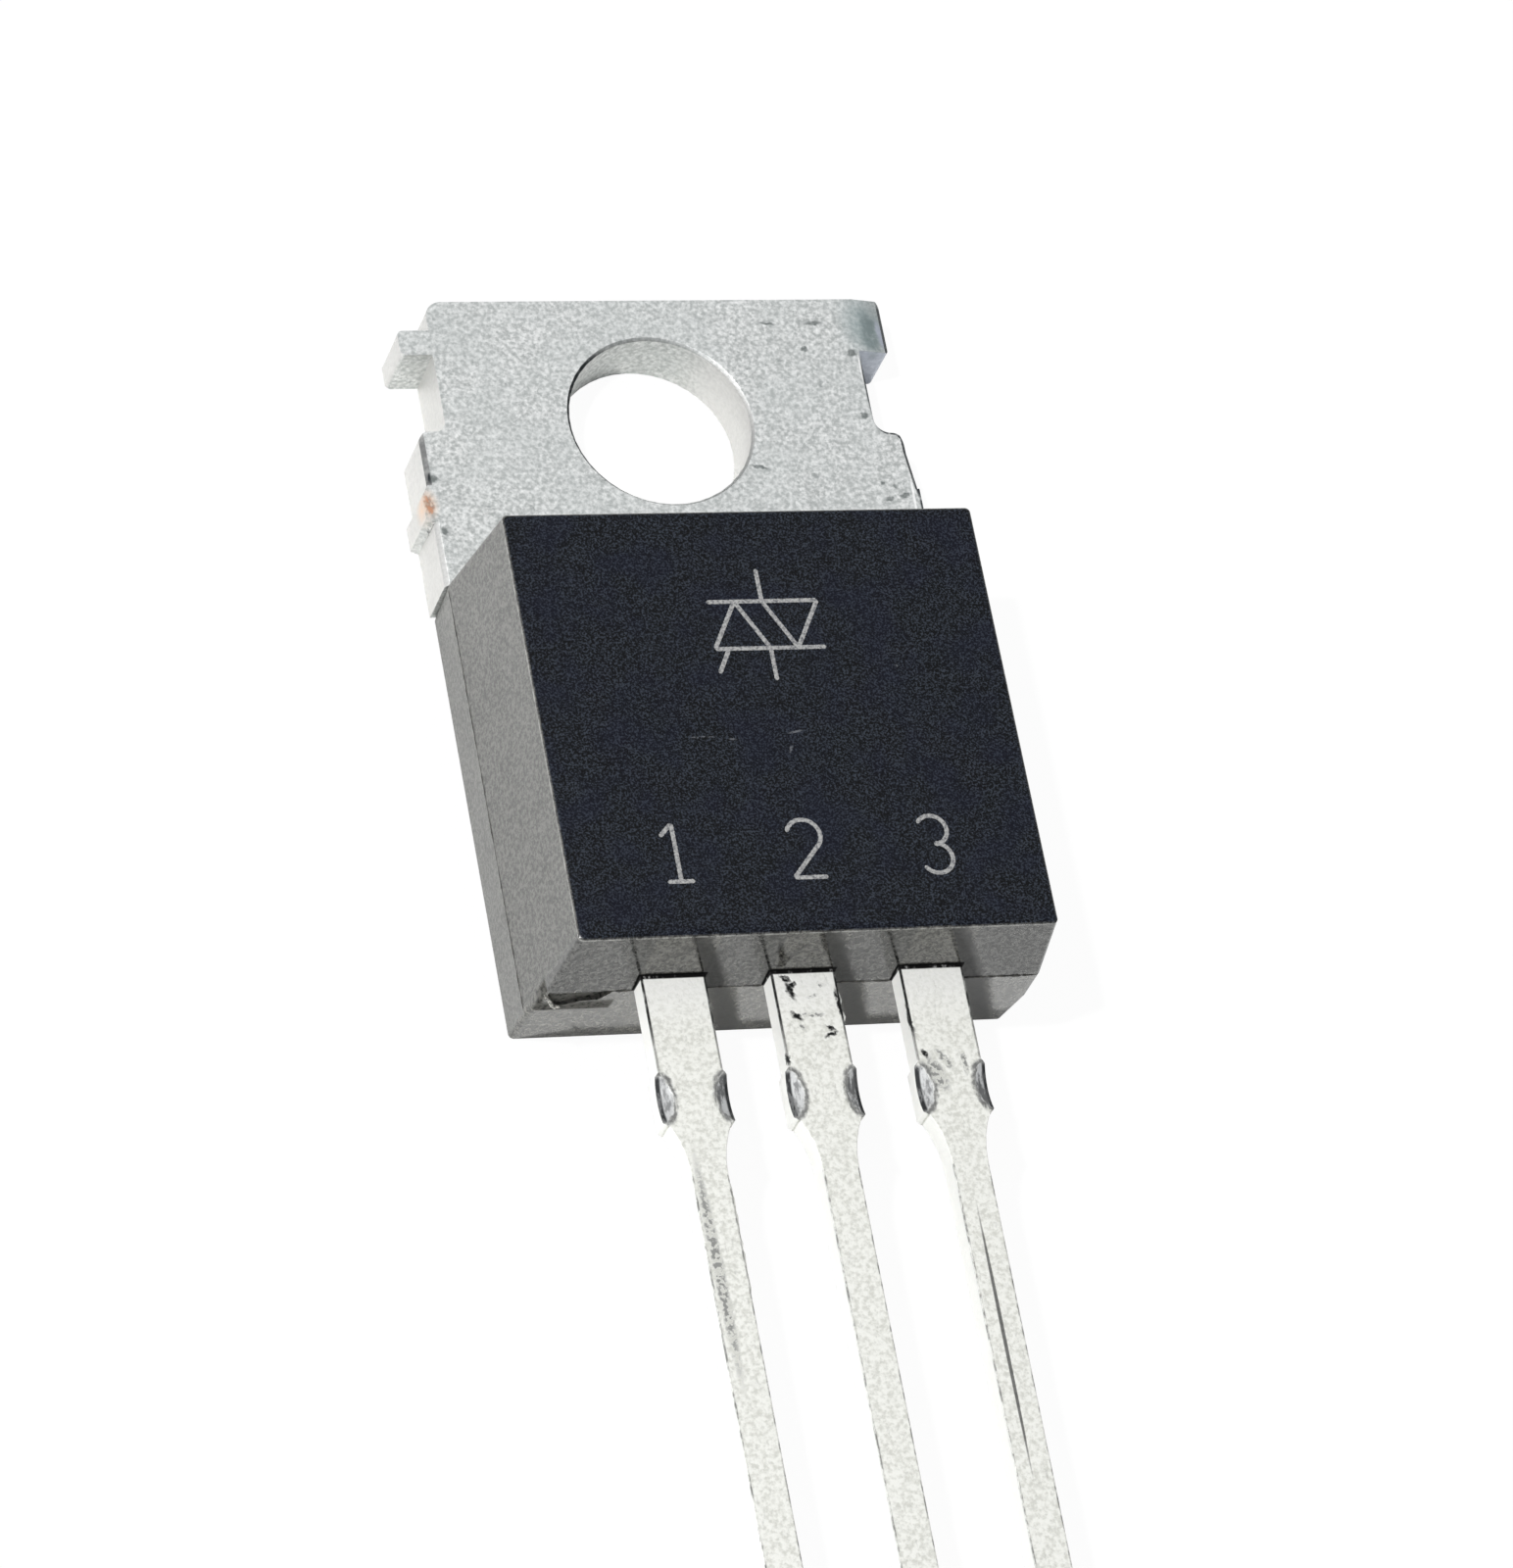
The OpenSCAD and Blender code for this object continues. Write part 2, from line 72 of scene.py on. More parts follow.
# the resin: the broken gate's pocket, and the slope of the painted shadow bands beside the leads
POCKET_LEFT, POCKET_RIGHT, POCKET_LOW = -4.88, -3.4, 1.6
PAINTED_SHADOW_SLOPE = 0.42

# the marking's places, and how deep its strokes are sunk into the front face
SYMBOL_X, SYMBOL_Y = 0.1, -6.3
NUMERALS_Y = -11.65
SUNK = 0.004

# settings of the two kinds of node that the materials use most
SMOOTH = {"interpolation_type": "SMOOTHSTEP"}
RGBA = {"data_type": "RGBA"}


def linear(code):
    """Linear RGBA from an sRGB hex code such as #8c8c8a."""
    parts = [int(code[i:i + 2], 16) / 255 for i in (1, 3, 5)]
    rgb = [p / 12.92 if p <= 0.04045 else ((p + 0.055) / 1.055) ** 2.4 for p in parts]
    return (*rgb, 1.0)


def add(tree, kind, *inputs, **settings):
    """Adds one node with its settings and links. The inputs fill its open sockets in order: a
    socket is linked, None leaves the socket as it is, and anything else is its value."""
    made = tree.nodes.new("ShaderNode" + kind)
    for name, value in settings.items():
        setattr(made, name, value)
    for socket, value in zip([each for each in made.inputs if each.enabled], inputs):
        if isinstance(value, bpy.types.NodeSocket):
            tree.links.new(value, socket)
        elif value is not None:
            socket.default_value = value
    return next((each for each in made.outputs if each.enabled), made)


def feed(tree, shader, **values):
    """Links values to the shader's sockets, which are named with _ for a space."""
    for name, value in values.items():
        tree.links.new(value, shader.inputs[name.replace("_", " ")])


def new_material(name, **constants):
    """A material of one principled shader, whose constant values are set on its own sockets."""
    made = bpy.data.materials.new(name)
    made.use_nodes = True
    tree = made.node_tree
    tree.nodes.clear()
    shader = tree.nodes.new("ShaderNodeBsdfPrincipled")
    for key, value in constants.items():
        shader.inputs[key.replace("_", " ")].default_value = value
    add(tree, "OutputMaterial", shader.outputs[0])
    return made, tree, shader


def millimetres(tree):
    """Object coordinates in millimetres; every node's object sits at the origin."""
    place = tree.nodes.new("ShaderNodeTexCoord").outputs["Object"]
    return add(tree, "VectorMath", place, 1 / MM, operation="SCALE")


def both(tree, *masks):
    """The masks multiplied, which is the part that they share; a number makes it fainter."""
    shared = masks[0]
    for mask in masks[1:]:
        shared = add(tree, "Math", shared, mask, operation="MULTIPLY")
    return shared


def either(tree, *masks):
    """The strongest of the masks."""
    joined = masks[0]
    for mask in masks[1:]:
        joined = add(tree, "Math", joined, mask, operation="MAXIMUM")
    return joined


def tone(tree, pattern, low, high, first, second, least=0, most=1):
    """The first colour, going over to the second while the pattern rises from low to high. The
    second colour's share goes from least to most."""
    share = add(tree, "MapRange", pattern, low, high, least, most, **SMOOTH)
    return add(tree, "Mix", share, first, second, **RGBA)


def inside(tree, value, low, high, soft):
    """1 where value lies between low and high, fading out over soft; all in millimetres."""
    rise = add(tree, "MapRange", value, low - soft, low + soft, **SMOOTH)
    fall = add(tree, "MapRange", value, high - soft, high + soft, 1.0, 0.0, **SMOOTH)
    return both(tree, rise, fall)


def spot(tree, place, centre, size, turn=0.0, soft=0.6):
    """1 at a centre, fading to 0 at the rim of an ellipsoid of that half size, turned about Z."""
    local = add(tree, "Mapping", place, centre, (0, 0, turn), size, vector_type="TEXTURE")
    reach = add(tree, "VectorMath", local, operation="LENGTH")
    return add(tree, "MapRange", reach, 1 - soft, 1, 1, 0, **SMOOTH)


def axes(tree, place):
    """The three separate coordinates of a place."""
    parts = tree.nodes.new("ShaderNodeSeparateXYZ")
    tree.links.new(place, parts.inputs[0])
    return parts.outputs[0], parts.outputs[1], parts.outputs[2]


def facing(tree):
    """The three parts of the surface's own direction, without its relief."""
    normal = tree.nodes.new("ShaderNodeTexCoord").outputs["Normal"]
    return axes(tree, normal)


def ragged(tree, place, size_mm, far_mm):
    """A place pushed about by up to far_mm, so that a mark drawn on it gets a ragged outline."""
    cloud = add(tree, "TexNoise", place, 1 / size_mm, 2.0).node.outputs["Color"]
    push = add(tree, "VectorMath", cloud, (0.5, 0.5, 0.5), operation="SUBTRACT")
    push = add(tree, "VectorMath", push, 4 * far_mm, operation="SCALE")
    return add(tree, "VectorMath", place, push, operation="ADD")


def rub(tree, place, marks, z, depth=0.15):
    """Marks on a face at height z, each given as x, y, half length, half width and turn."""
    return either(tree, *(spot(tree, place, (x, y, z), (long, wide, depth), turn)
                          for x, y, long, wide, turn in marks))


def from_lead_middle(tree, x):
    """Distance in millimetres from the middle line of the nearest lead."""
    across = add(tree, "Math", x, PITCH / 2, -PITCH / 2, operation="WRAP")
    return add(tree, "Math", across, operation="ABSOLUTE")


def finish(node, made):
    """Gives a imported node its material."""
    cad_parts[node].material_slots[0].material = made


def piece(name, body, made):
    """Makes an added piece from a bmesh in millimetres; it rides on the one body."""
    bmesh.ops.recalc_face_normals(body, faces=body.faces)
    bmesh.ops.scale(body, vec=(MM, MM, MM), verts=body.verts)
    mesh = bpy.data.meshes.new(name)
    body.to_mesh(mesh)
    body.free()
    mesh.materials.append(made)
    added = bpy.data.objects.new(name, mesh)
    bpy.context.scene.collection.objects.link(added)
    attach(added, "root")


def soften(node, width_mm):
    """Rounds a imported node's sharp edges by modifiers, with its own mesh as it was."""
    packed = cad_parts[node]
    weld = packed.modifiers.new("Weld", "WELD")
    weld.merge_threshold = 1e-7
    flat = packed.modifiers.new("Join flat faces", "DECIMATE")
    flat.decimate_type = "DISSOLVE"
    flat.angle_limit = math.radians(0.5)
    edge = packed.modifiers.new("Edge radius", "BEVEL")
    edge.width = width_mm * MM
    edge.segments = 3
    edge.limit_method = "ANGLE"
    edge.angle_limit = math.radians(30)
    edge.use_clamp_overlap = True
    packed.modifiers.new("Even normals", "WEIGHTED_NORMAL")


# --- settings -----------------------------------------------------------------

class ResinSettings(bpy.types.PropertyGroup):
    face_colour: bpy.props.FloatVectorProperty(
        name="Front face", description="Colour of the spark-eroded front face",
        subtype="COLOR", size=4, min=0, max=1, default=linear("#060709"))
    wall_colour: bpy.props.FloatVectorProperty(
        name="Walls", description="Colour of the drafted side walls",
        subtype="COLOR", size=4, min=0, max=1, default=linear("#262625"))
    grain: bpy.props.FloatProperty(
        name="Grain", description="Pitch of the eroded texture",
        default=0.04 * MM, min=0.01 * MM, max=0.3 * MM, unit="LENGTH")


class TinSettings(bpy.types.PropertyGroup):
    tab_colour: bpy.props.FloatVectorProperty(
        name="Tab", description="Colour of the matte tin on the tab",
        subtype="COLOR", size=4, min=0, max=1, default=linear("#dcdddb"))
    lead_colour: bpy.props.FloatVectorProperty(
        name="Leads", description="Colour of the matte tin on the leads",
        subtype="COLOR", size=4, min=0, max=1, default=linear("#e9e9e4"))
    copper_colour: bpy.props.FloatVectorProperty(
        name="Bare copper", description="Colour of the copper at the cuts and of the foils",
        subtype="COLOR", size=4, min=0, max=1, default=linear("#c08e70"))
    blotch: bpy.props.FloatProperty(
        name="Blotches", description="Size of the blotches in the tin",
        default=0.085 * MM, min=0.02 * MM, max=1 * MM, unit="LENGTH")


class MarkingSettings(bpy.types.PropertyGroup):
    line: bpy.props.FloatProperty(
        name="Line", description="Width of the laser's line",
        default=0.085 * MM, min=0.05 * MM, max=0.3 * MM, unit="LENGTH")
    ridge: bpy.props.FloatProperty(
        name="Ridge", description="Height of the foamed resin above the front face",
        default=0.006 * MM, min=0.001 * MM, max=0.02 * MM, unit="LENGTH")
    pulse: bpy.props.FloatProperty(
        name="Pulse", description="Distance between the laser's pulses",
        default=0.08 * MM, min=0.04 * MM, max=0.3 * MM, unit="LENGTH")
    symbol: bpy.props.FloatProperty(
        name="Symbol", description="Size of the circuit symbol",
        default=2.4 * MM, min=1 * MM, max=4 * MM, unit="LENGTH")
    numeral: bpy.props.FloatProperty(
        name="Numerals", description="Height of the lead numbers",
        default=1.2 * MM, min=0.6 * MM, max=2 * MM, unit="LENGTH")
    flash: bpy.props.FloatProperty(
        name="Flash", description="How far the moulding flash stands out",
        default=0.03 * MM, min=0.005 * MM, max=0.06 * MM, unit="LENGTH")


class StageSettings(bpy.types.PropertyGroup):
    azimuth: bpy.props.FloatProperty(
        name="Azimuth", description="Direction of the camera; 0 looks along +Y",
        default=math.radians(-36.88), subtype="ANGLE")
    elevation: bpy.props.FloatProperty(
        name="Elevation", description="Height of the camera above the horizon",
        default=math.radians(57.28), subtype="ANGLE")
    roll: bpy.props.FloatProperty(
        name="Roll", description="Turn of the camera about its own axis",
        default=math.radians(30.55), subtype="ANGLE")
    aim: bpy.props.FloatVectorProperty(
        name="Aim", description="Point that the camera looks at",
        default=(0.351 * MM, -8.690 * MM, 2.2 * MM), subtype="TRANSLATION", unit="LENGTH")
    distance: bpy.props.FloatProperty(
        name="Distance", description="From the camera to the point it looks at",
        default=137.72 * MM, unit="LENGTH")
    lens: bpy.props.FloatProperty(
        name="Lens", description="Focal length in millimetres", default=166.61)
    shift: bpy.props.FloatVectorProperty(
        name="Shift", description="Camera shift across and up", size=2,
        default=(-0.00759, 0.00466))
    floor_colour: bpy.props.FloatVectorProperty(
        name="Floor", description="Colour of the floor",
        subtype="COLOR", size=4, min=0, max=1, default=linear("#f4f4f2"))
    floor_white: bpy.props.FloatProperty(
        name="Floor white", description="Share of plain white in the floor that the camera sees",
        subtype="FACTOR", min=0, max=1, default=0.95)
    key_power: bpy.props.FloatProperty(
        name="Key light", description="Power of the light above on the left",
        default=0.56, min=0, unit="POWER")
    side_power: bpy.props.FloatProperty(
        name="Side light", description="Power of the broad soft light low on the left",
        default=0.03, min=0, unit="POWER")
    top_power: bpy.props.FloatProperty(
        name="Top light", description="Power of the soft light above on the right",
        default=0.12, min=0, unit="POWER")
    fill: bpy.props.FloatProperty(
        name="Fill", description="Strength of the even light near the horizon", default=0.22, min=0)
    overhead: bpy.props.FloatProperty(
        name="Overhead", description="Strength of the soft light from above", default=0.52, min=0)


# --- materials ------------------------------------------------------------------
# Places and sizes are in millimetres; the scale of a noise is 1 / the size of its blotches.

def moulded_epoxy(settings):
    """Silica-filled black epoxy, transfer moulded: the spark-eroded front is near black and grainy,
    while the drafted walls, wiped by the mould on ejection, are smoother, and are drawn greyer:
    partly that wiped finish, partly a painted sheen, as the same resin looks greyer at a low angle.
    The grain is drawn about twice as coarse as the real one, so that it shows. The end wall mirrors
    the leads faintly, and its colour adds a painted reflection, paler above each lead, and a
    painted shadow, a darker slanted band beside each, for the lead's mirrored shadow on the floor."""
    made, tree, shader = new_material("transfer-moulded filled epoxy", IOR=1.55)
    place = millimetres(tree)
    x, y, z = axes(tree, place)

    # where the front and the end wall are, and the eroded grain, its coarser lumps and the broad
    # unevenness of the moulding
    front = add(tree, "MapRange", z, FACE_Z - 0.04, FACE_Z - 0.015, **SMOOTH)
    end = add(tree, "MapRange", y, END_Y + 0.25, END_Y + 0.35, 1, 0, **SMOOTH)
    grain = add(tree, "TexNoise", place, MM / settings.grain, 3.0, 0.7)
    coarse = add(tree, "TexNoise", place, MM / (2.4 * settings.grain), 3.0, 0.6)
    broad = add(tree, "TexNoise", place, 1 / 0.9, 2.0)
    face = tone(tree, grain, 0.46, 0.62, settings.face_colour, linear("#30353d"))
    face = tone(tree, broad, 0.4, 0.7, face, linear("#15182a"), most=0.3)
    speck = add(tree, "MapRange",
                add(tree, "Math", coarse, 0.5, both(tree, grain, 0.5), operation="MULTIPLY_ADD"),
                0.42, 0.58, **SMOOTH)
    # partly painted sheen: the drafted walls drawn greyer than the front
    wall = add(tree, "Mix", speck, settings.wall_colour, linear("#656560"), **RGBA)
    # painted reflection: the end wall below the leads' back face drawn paler, for the bright floor
    # it mirrors
    low = both(tree, end, add(tree, "MapRange", z, LEAD_BACK_Z - 0.03, LEAD_BACK_Z, 1, 0, **SMOOTH))
    wall = add(tree, "Mix", end, wall,
               add(tree, "Mix", speck, linear("#121211"), linear("#4e4e4b"), **RGBA), **RGBA)
    wall = add(tree, "Mix", low, wall,
               add(tree, "Mix", speck, linear("#1c1c1a"), linear("#67665f"), **RGBA), **RGBA)

    # painted reflection of the leads in the end wall: pale above each lead, and a dark band
    # slanting beside it for the lead's mirrored shadow on the floor
    off = from_lead_middle(tree, x)
    row = inside(tree, x, -ROW_HALF, ROW_HALF, 0.01)
    over = both(tree, end, row,
                add(tree, "MapRange", off, LEAD_HALF - 0.03, LEAD_HALF + 0.03, 1, 0, **SMOOTH),
                add(tree, "MapRange", z, LEAD_Z, LEAD_Z + 0.1, **SMOOTH))
    wall = add(tree, "Mix", both(tree, over, 0.5), wall,
               add(tree, "Mix", speck, linear("#3a3935"), linear("#74726a"), **RGBA), **RGBA)
    # painted shadow: the dark slanted band beside each lead, also a little less shiny
    above = add(tree, "Math", z, LEAD_Z, operation="SUBTRACT")
    slid = add(tree, "Math", above, PAINTED_SHADOW_SLOPE, x, operation="MULTIPLY_ADD")
    across = add(tree, "Math", slid, PITCH / 2, -PITCH / 2, operation="WRAP")
    painted_shadow_band = both(tree, end, inside(tree, across, LEAD_HALF - 0.03, LEAD_HALF + 0.35, 0.08),
               add(tree, "MapRange", slid, -PITCH, 0.1 - PITCH, **SMOOTH))
    wall = add(tree, "Mix", both(tree, painted_shadow_band, 0.75), wall, linear("#0c0c0b"), **RGBA)

    # thin scuffs on the front
    scuff = rub(tree, place, ((-1.59, -8.66, 0.3, 0.03, 0.0), (-1.0, -8.72, 0.12, 0.025, -0.1),
                              (0.1, -8.95, 0.16, 0.04, 1.1), (0.25, -8.6, 0.2, 0.03, 0.2),
                              (2.52, -7.25, 0.05, 0.04, 0.0)), FACE_Z)
    scuff = both(tree, scuff, add(tree, "MapRange", coarse, 0.4, 0.6, **SMOOTH))
    face = add(tree, "Mix", both(tree, scuff, 0.6), face, linear("#6c6e72"), **RGBA)

    # the broken gate leaves a rough pocket; and painted shade: a fine dark line round each lead
    # where it enters the resin, and a painted shadow of the flash along the parting line
    pocket = both(tree, end, inside(tree, x, POCKET_LEFT, POCKET_RIGHT, 0.04),
                  inside(tree, z, POCKET_LOW, LEAD_BACK_Z, 0.01),
                  add(tree, "MapRange", y, END_Y + 0.03, END_Y + 0.08, **SMOOTH))
    painted_seam_shade = both(tree, end, row,
                 add(tree, "MapRange", off, LEAD_HALF + 0.03, LEAD_HALF + 0.07, 1, 0, **SMOOTH),
                 inside(tree, z, LEAD_BACK_Z - 0.01, LEAD_Z + 0.07, 0.015))
    parting = both(tree, end, inside(tree, z, LEAD_BACK_Z - 0.01, LEAD_BACK_Z + 0.02, 0.012),
                   add(tree, "MapRange", x, -3.9, -3.7, **SMOOTH),
                   add(tree, "MapRange", broad, 0.3, 0.5, 0.5, 0.9, **SMOOTH))
    painted_seam_shade = either(tree, painted_seam_shade, parting)
    crumbs = tone(tree, coarse, 0.3, 0.55, linear("#141413"), linear("#5a5955"))
    wall = add(tree, "Mix", pocket, wall, crumbs, **RGBA)
    wall = add(tree, "Mix", painted_seam_shade, wall, linear("#050505"), **RGBA)
    dull = either(tree, pocket, painted_seam_shade)

    # painted highlight along the front's edges, broken up by noise
    edge = both(tree, inside(tree, z, FACE_Z - 0.09, FACE_Z - 0.045, 0.015),
                add(tree, "MapRange", add(tree, "TexNoise", place, 1 / 0.16, 4.0, 0.7), 0.4, 0.62,
                    0.15, 0.75, **SMOOTH))
    colour = add(tree, "Mix", front, wall, face, **RGBA)
    colour = add(tree, "Mix", edge, colour, linear("#a3a39e"), **RGBA)

    # how blurred and how strong its reflections are
    gloss = add(tree, "Mix", front, add(tree, "MapRange", end, 0, 1, 0.3, 0.05, **SMOOTH), 0.6)
    gloss = add(tree, "Mix", dull, gloss, 0.75)
    gloss = add(tree, "Math", add(tree, "MapRange", broad, 0.3, 0.7, **SMOOTH), 0.03, gloss,
                operation="MULTIPLY_ADD")
    shine = add(tree, "Mix", end, 0.6, 0.78)
    shine = add(tree, "Mix", front, shine, 0.08)
    shine = both(tree, shine, add(tree, "MapRange", dull, 0, 1, 1, 0.15, **SMOOTH))
    shine = both(tree, shine, add(tree, "MapRange", painted_shadow_band, 0, 1, 1, 0.8, **SMOOTH))
    matrix = both(tree, end, add(tree, "Math", 1, speck, operation="SUBTRACT"))
    shine = both(tree, shine, add(tree, "MapRange", matrix, 0, 1, 1.12, 0.78, **SMOOTH))
    relief = add(tree, "Math", coarse, 0.6, grain, operation="MULTIPLY_ADD")
    relief = both(tree, relief, add(tree, "MapRange", end, 0, 1, 1, 0.3, **SMOOTH))
    feed(tree, shader, Base_Color=colour, Roughness=gloss, Specular_IOR_Level=shine,
         Normal=add(tree, "Bump", 0.55, 0.007 * MM, None, relief))
    return made


def resin_flash():
    """Epoxy squeezed thin between the mould halves: a ragged brown-grey fin, paler in streaks."""
    made, tree, shader = new_material("moulding flash of filled epoxy", IOR=1.55, Roughness=0.5)
    streak = add(tree, "TexNoise", millimetres(tree), 1 / 0.12, 3.0)
    feed(tree, shader,
         Base_Color=tone(tree, streak, 0.35, 0.65, linear("#1d1c1a"), linear("#4c4a45")),
         Normal=add(tree, "Bump", 0.6, 0.01 * MM, None, streak))
    return made


def broken_epoxy():
    """Filled epoxy where the runner snapped off: a dry, pale, crystalline break full of silica."""
    made, tree, shader = new_material("snapped filled epoxy", IOR=1.55, Roughness=0.7)
    crystal = add(tree, "TexNoise", millimetres(tree), 1 / 0.05, 4.0, 0.7)
    feed(tree, shader,
         Base_Color=tone(tree, crystal, 0.35, 0.65, linear("#6b6963"), linear("#dedcd5")),
         Normal=add(tree, "Bump", 0.9, 0.02 * MM, None, crystal))
    return made


def lasered_epoxy():
    """Epoxy foamed by a marking laser: pale grey, dry and matte, with the pulses as fine ridges."""
    made, tree, shader = new_material("laser-marked epoxy", IOR=1.5, Roughness=0.8)
    foam = add(tree, "TexNoise", millimetres(tree), 1 / 0.06, 3.0, 0.7)
    feed(tree, shader, Base_Color=tone(tree, foam, 0.3, 0.62, linear("#4e4f53"), linear("#9a9a98")),
         Normal=add(tree, "Bump", 0.7, 0.01 * MM, None, foam))
    return made


def matte_tin_tab(settings):
    """Matte electroplated tin on punched copper: fine pale crystals that blur reflections,
    drawn paler on the sheared walls that face left, partly burnish and partly painted light from
    the left, rubbed darker in small marks where the tab was handled, darker over the right ear,
    with painted shade on the rolled edges turned from the light and painted glints on two right
    edges, and worn to copper on the left tie-bar stub. The crystals are drawn ten times too coarse,
    so that they show."""
    made, tree, shader = new_material("matte tin plate on punched copper", Metallic=1.0)
    place = millimetres(tree)
    x, y, _ = axes(tree, place)
    nx, ny, nz = facing(tree)
    blotch = add(tree, "TexNoise", place, MM / settings.blotch, 4.0, 0.65)
    wear = add(tree, "TexNoise", place, 1 / 0.25, 3.0, 0.6)
    drift = add(tree, "TexNoise", place, 1 / 1.3, 2.0)
    colour = tone(tree, blotch, 0.32, 0.66, linear("#adb0ae"), settings.tab_colour)
    colour = tone(tree, blotch, 0.6, 0.74, colour, linear("#f3f3f1"), most=0.6)
    colour = tone(tree, drift, 0.35, 0.65, colour, linear("#c0c4c2"), most=0.3)
    colour = tone(tree, add(tree, "TexNoise", place, 1 / 0.2, 2.0), 0.69, 0.76, colour,
                  linear("#7f8583"), most=0.45)
    # partly painted light: the sheared walls that face left, towards the light, drawn paler and
    # more even
    colour = tone(tree, nx, -0.85, -0.35, colour, linear("#d9d8d6"), 0.85, 0)

    # the right ear drawn darker, a broad grey patch and a dark core; and painted light: a pale
    # violet tint for the bluish light on its broken-out bottom and on the rolled edge beside it
    ear_grey_patch = both(tree, spot(tree, place, (4.68, 2.12, 1.2), (0.75, 1.05, 0.9), 0.1, 0.8),
                  add(tree, "MapRange", wear, 0.2, 0.5, 0.6, 1, **SMOOTH))
    colour = add(tree, "Mix", both(tree, ear_grey_patch, 0.8), colour, linear("#94a0a0"), **RGBA)
    painted_lilac_light = either(tree,
                   both(tree, add(tree, "MapRange", ny, -0.8, -0.5, 1, 0, **SMOOTH),
                        add(tree, "MapRange", x, 4.2, 4.4, **SMOOTH)),
                   spot(tree, place, (4.95, 1.98, 1.2), (0.1, 0.42, 0.4), 0.1))
    colour = add(tree, "Mix", both(tree, painted_lilac_light, 0.8), colour, linear("#b4b9c4"), **RGBA)
    core = both(tree,
                spot(tree, ragged(tree, place, 0.3, 0.1), (4.7, 1.98, 1.2), (0.24, 0.6, 0.5), 0.12),
                add(tree, "MapRange", wear, 0.25, 0.55, 0.4, 1, **SMOOTH))
    colour = add(tree, "Mix", both(tree, core, 0.85), colour, linear("#7f8b8b"), **RGBA)

    # small dark rubs, and painted shade: a dark line on the rolled edges turned from the light,
    # broken up by noise
    rough = ragged(tree, place, 0.08, 0.03)
    marks = rub(tree, rough, (
        (3.57, 2.2, 0.24, 0.06, 0.05), (2.6, 2.2, 0.22, 0.045, -0.1), (3.25, 1.6, 0.09, 0.07, 0.2),
        (4.25, 1.5, 0.14, 0.12, 0.5), (4.24, 0.06, 0.11, 0.1, 0.3), (4.33, -1.47, 0.07, 0.07, 0),
        (4.58, -1.56, 0.07, 0.08, 0), (4.74, -1.78, 0.14, 0.1, 0.3),
        (1.85, -1.08, 0.26, 0.05, -0.2), (-4.86, -1.24, 0.14, 0.12, 0.4),
        (-4.8, -2.4, 0.09, 0.14, 0.3), (4.4, -1.85, 0.12, 0.06, 0.2),
    ), TAB_Z, 0.3)
    marks = both(tree, marks, add(tree, "MapRange", blotch, 0.3, 0.55, 0.4, 1, **SMOOTH))
    colour = add(tree, "Mix", both(tree, marks, 0.85), colour, linear("#5d6462"), **RGBA)
    # painted highlight: two thin pale glints near the right edge
    glint = rub(tree, place, ((4.92, -1.8, 0.6, 0.035, 1.55), (4.37, 1.1, 0.45, 0.03, 1.571)),
                TAB_Z, 0.1)
    colour = add(tree, "Mix", both(tree, glint, 0.8), colour, linear("#f4f4f2"), **RGBA)
    upright = math.pi / 2
    turned = rub(tree, place, (
        (4.42, 0.75, 0.95, 0.065, upright), (4.46, -0.12, 0.17, 0.05, -1.2),
        (4.58, -0.3, 0.17, 0.05, -0.6), (4.77, -0.36, 0.14, 0.04, -0.1),
        (4.91, -0.46, 0.15, 0.045, -0.7), (4.98, -0.65, 0.16, 0.05, -1.4),
        (5.03, -1.5, 0.5, 0.065, 1.62), (5.07, -2.0, 0.4, 0.065, upright),
        (5.0, -2.5, 0.5, 0.05, upright), (-4.93, -1.2, 0.2, 0.05, 1.48),
    ), TAB_Z, 0.09)
    rolled = add(tree, "MapRange", nz, 0.15, 0.45, **SMOOTH)
    right = both(tree, rolled, add(tree, "MapRange", nx, 0.3, 0.5, **SMOOTH))
    left = both(tree, rolled, add(tree, "MapRange", nx, -0.55, -0.3, 0.6, 0, **SMOOTH),
                inside(tree, y, -1.5, -0.25, 0.1),
                add(tree, "MapRange", x, -4.6, -4.5, 1, 0, **SMOOTH))
    painted_rim_shade = both(tree, either(tree, right, left, turned),
                add(tree, "MapRange", wear, 0.3, 0.5, 0.6, 1, **SMOOTH))
    colour = add(tree, "Mix", painted_rim_shade, colour, linear("#3c4042"), **RGBA)

    # worn to copper on the left stub's front corner
    halo = both(tree, spot(tree, place, (-5.05, -1.8, 1.2), (0.28, 0.45, 0.6), 0.0, 0.9),
                add(tree, "MapRange", blotch, 0.3, 0.55, 0.5, 1, **SMOOTH))
    colour = add(tree, "Mix", both(tree, halo, 0.9), colour, linear("#e6cbb4"), **RGBA)
    # painted shadow: a dark line along the stub's lower edge, below the copper
    painted_stub_shadow = spot(tree, rough, (-5.1, -2.2, 1.0), (0.25, 0.035, 0.5))
    colour = add(tree, "Mix", both(tree, painted_stub_shadow, 0.8), colour, linear("#4d4f50"), **RGBA)
    drawn = add(tree, "VectorMath", place, (1, 0.5, 0.5), operation="MULTIPLY")
    shear = add(tree, "TexNoise", drawn, 1 / 0.09, 3.0, 0.6)
    bare = both(tree, spot(tree, rough, (-5.02, -1.82, 1.28), (0.12, 0.32, 0.25), 0.1),
                add(tree, "MapRange", shear, 0.4, 0.6, 0.2, 1, **SMOOTH))
    raw = tone(tree, shear, 0.45, 0.62, linear("#54392c"), settings.copper_colour)
    colour = add(tree, "Mix", both(tree, bare, 0.9), colour, raw, **RGBA)
    feed(tree, shader, Base_Color=colour,
         Roughness=add(tree, "MapRange", blotch, 0.3, 0.7, 0.62, 0.5, **SMOOTH),
         Normal=add(tree, "Bump", 0.5, 0.01 * MM, None, blotch))
    return made


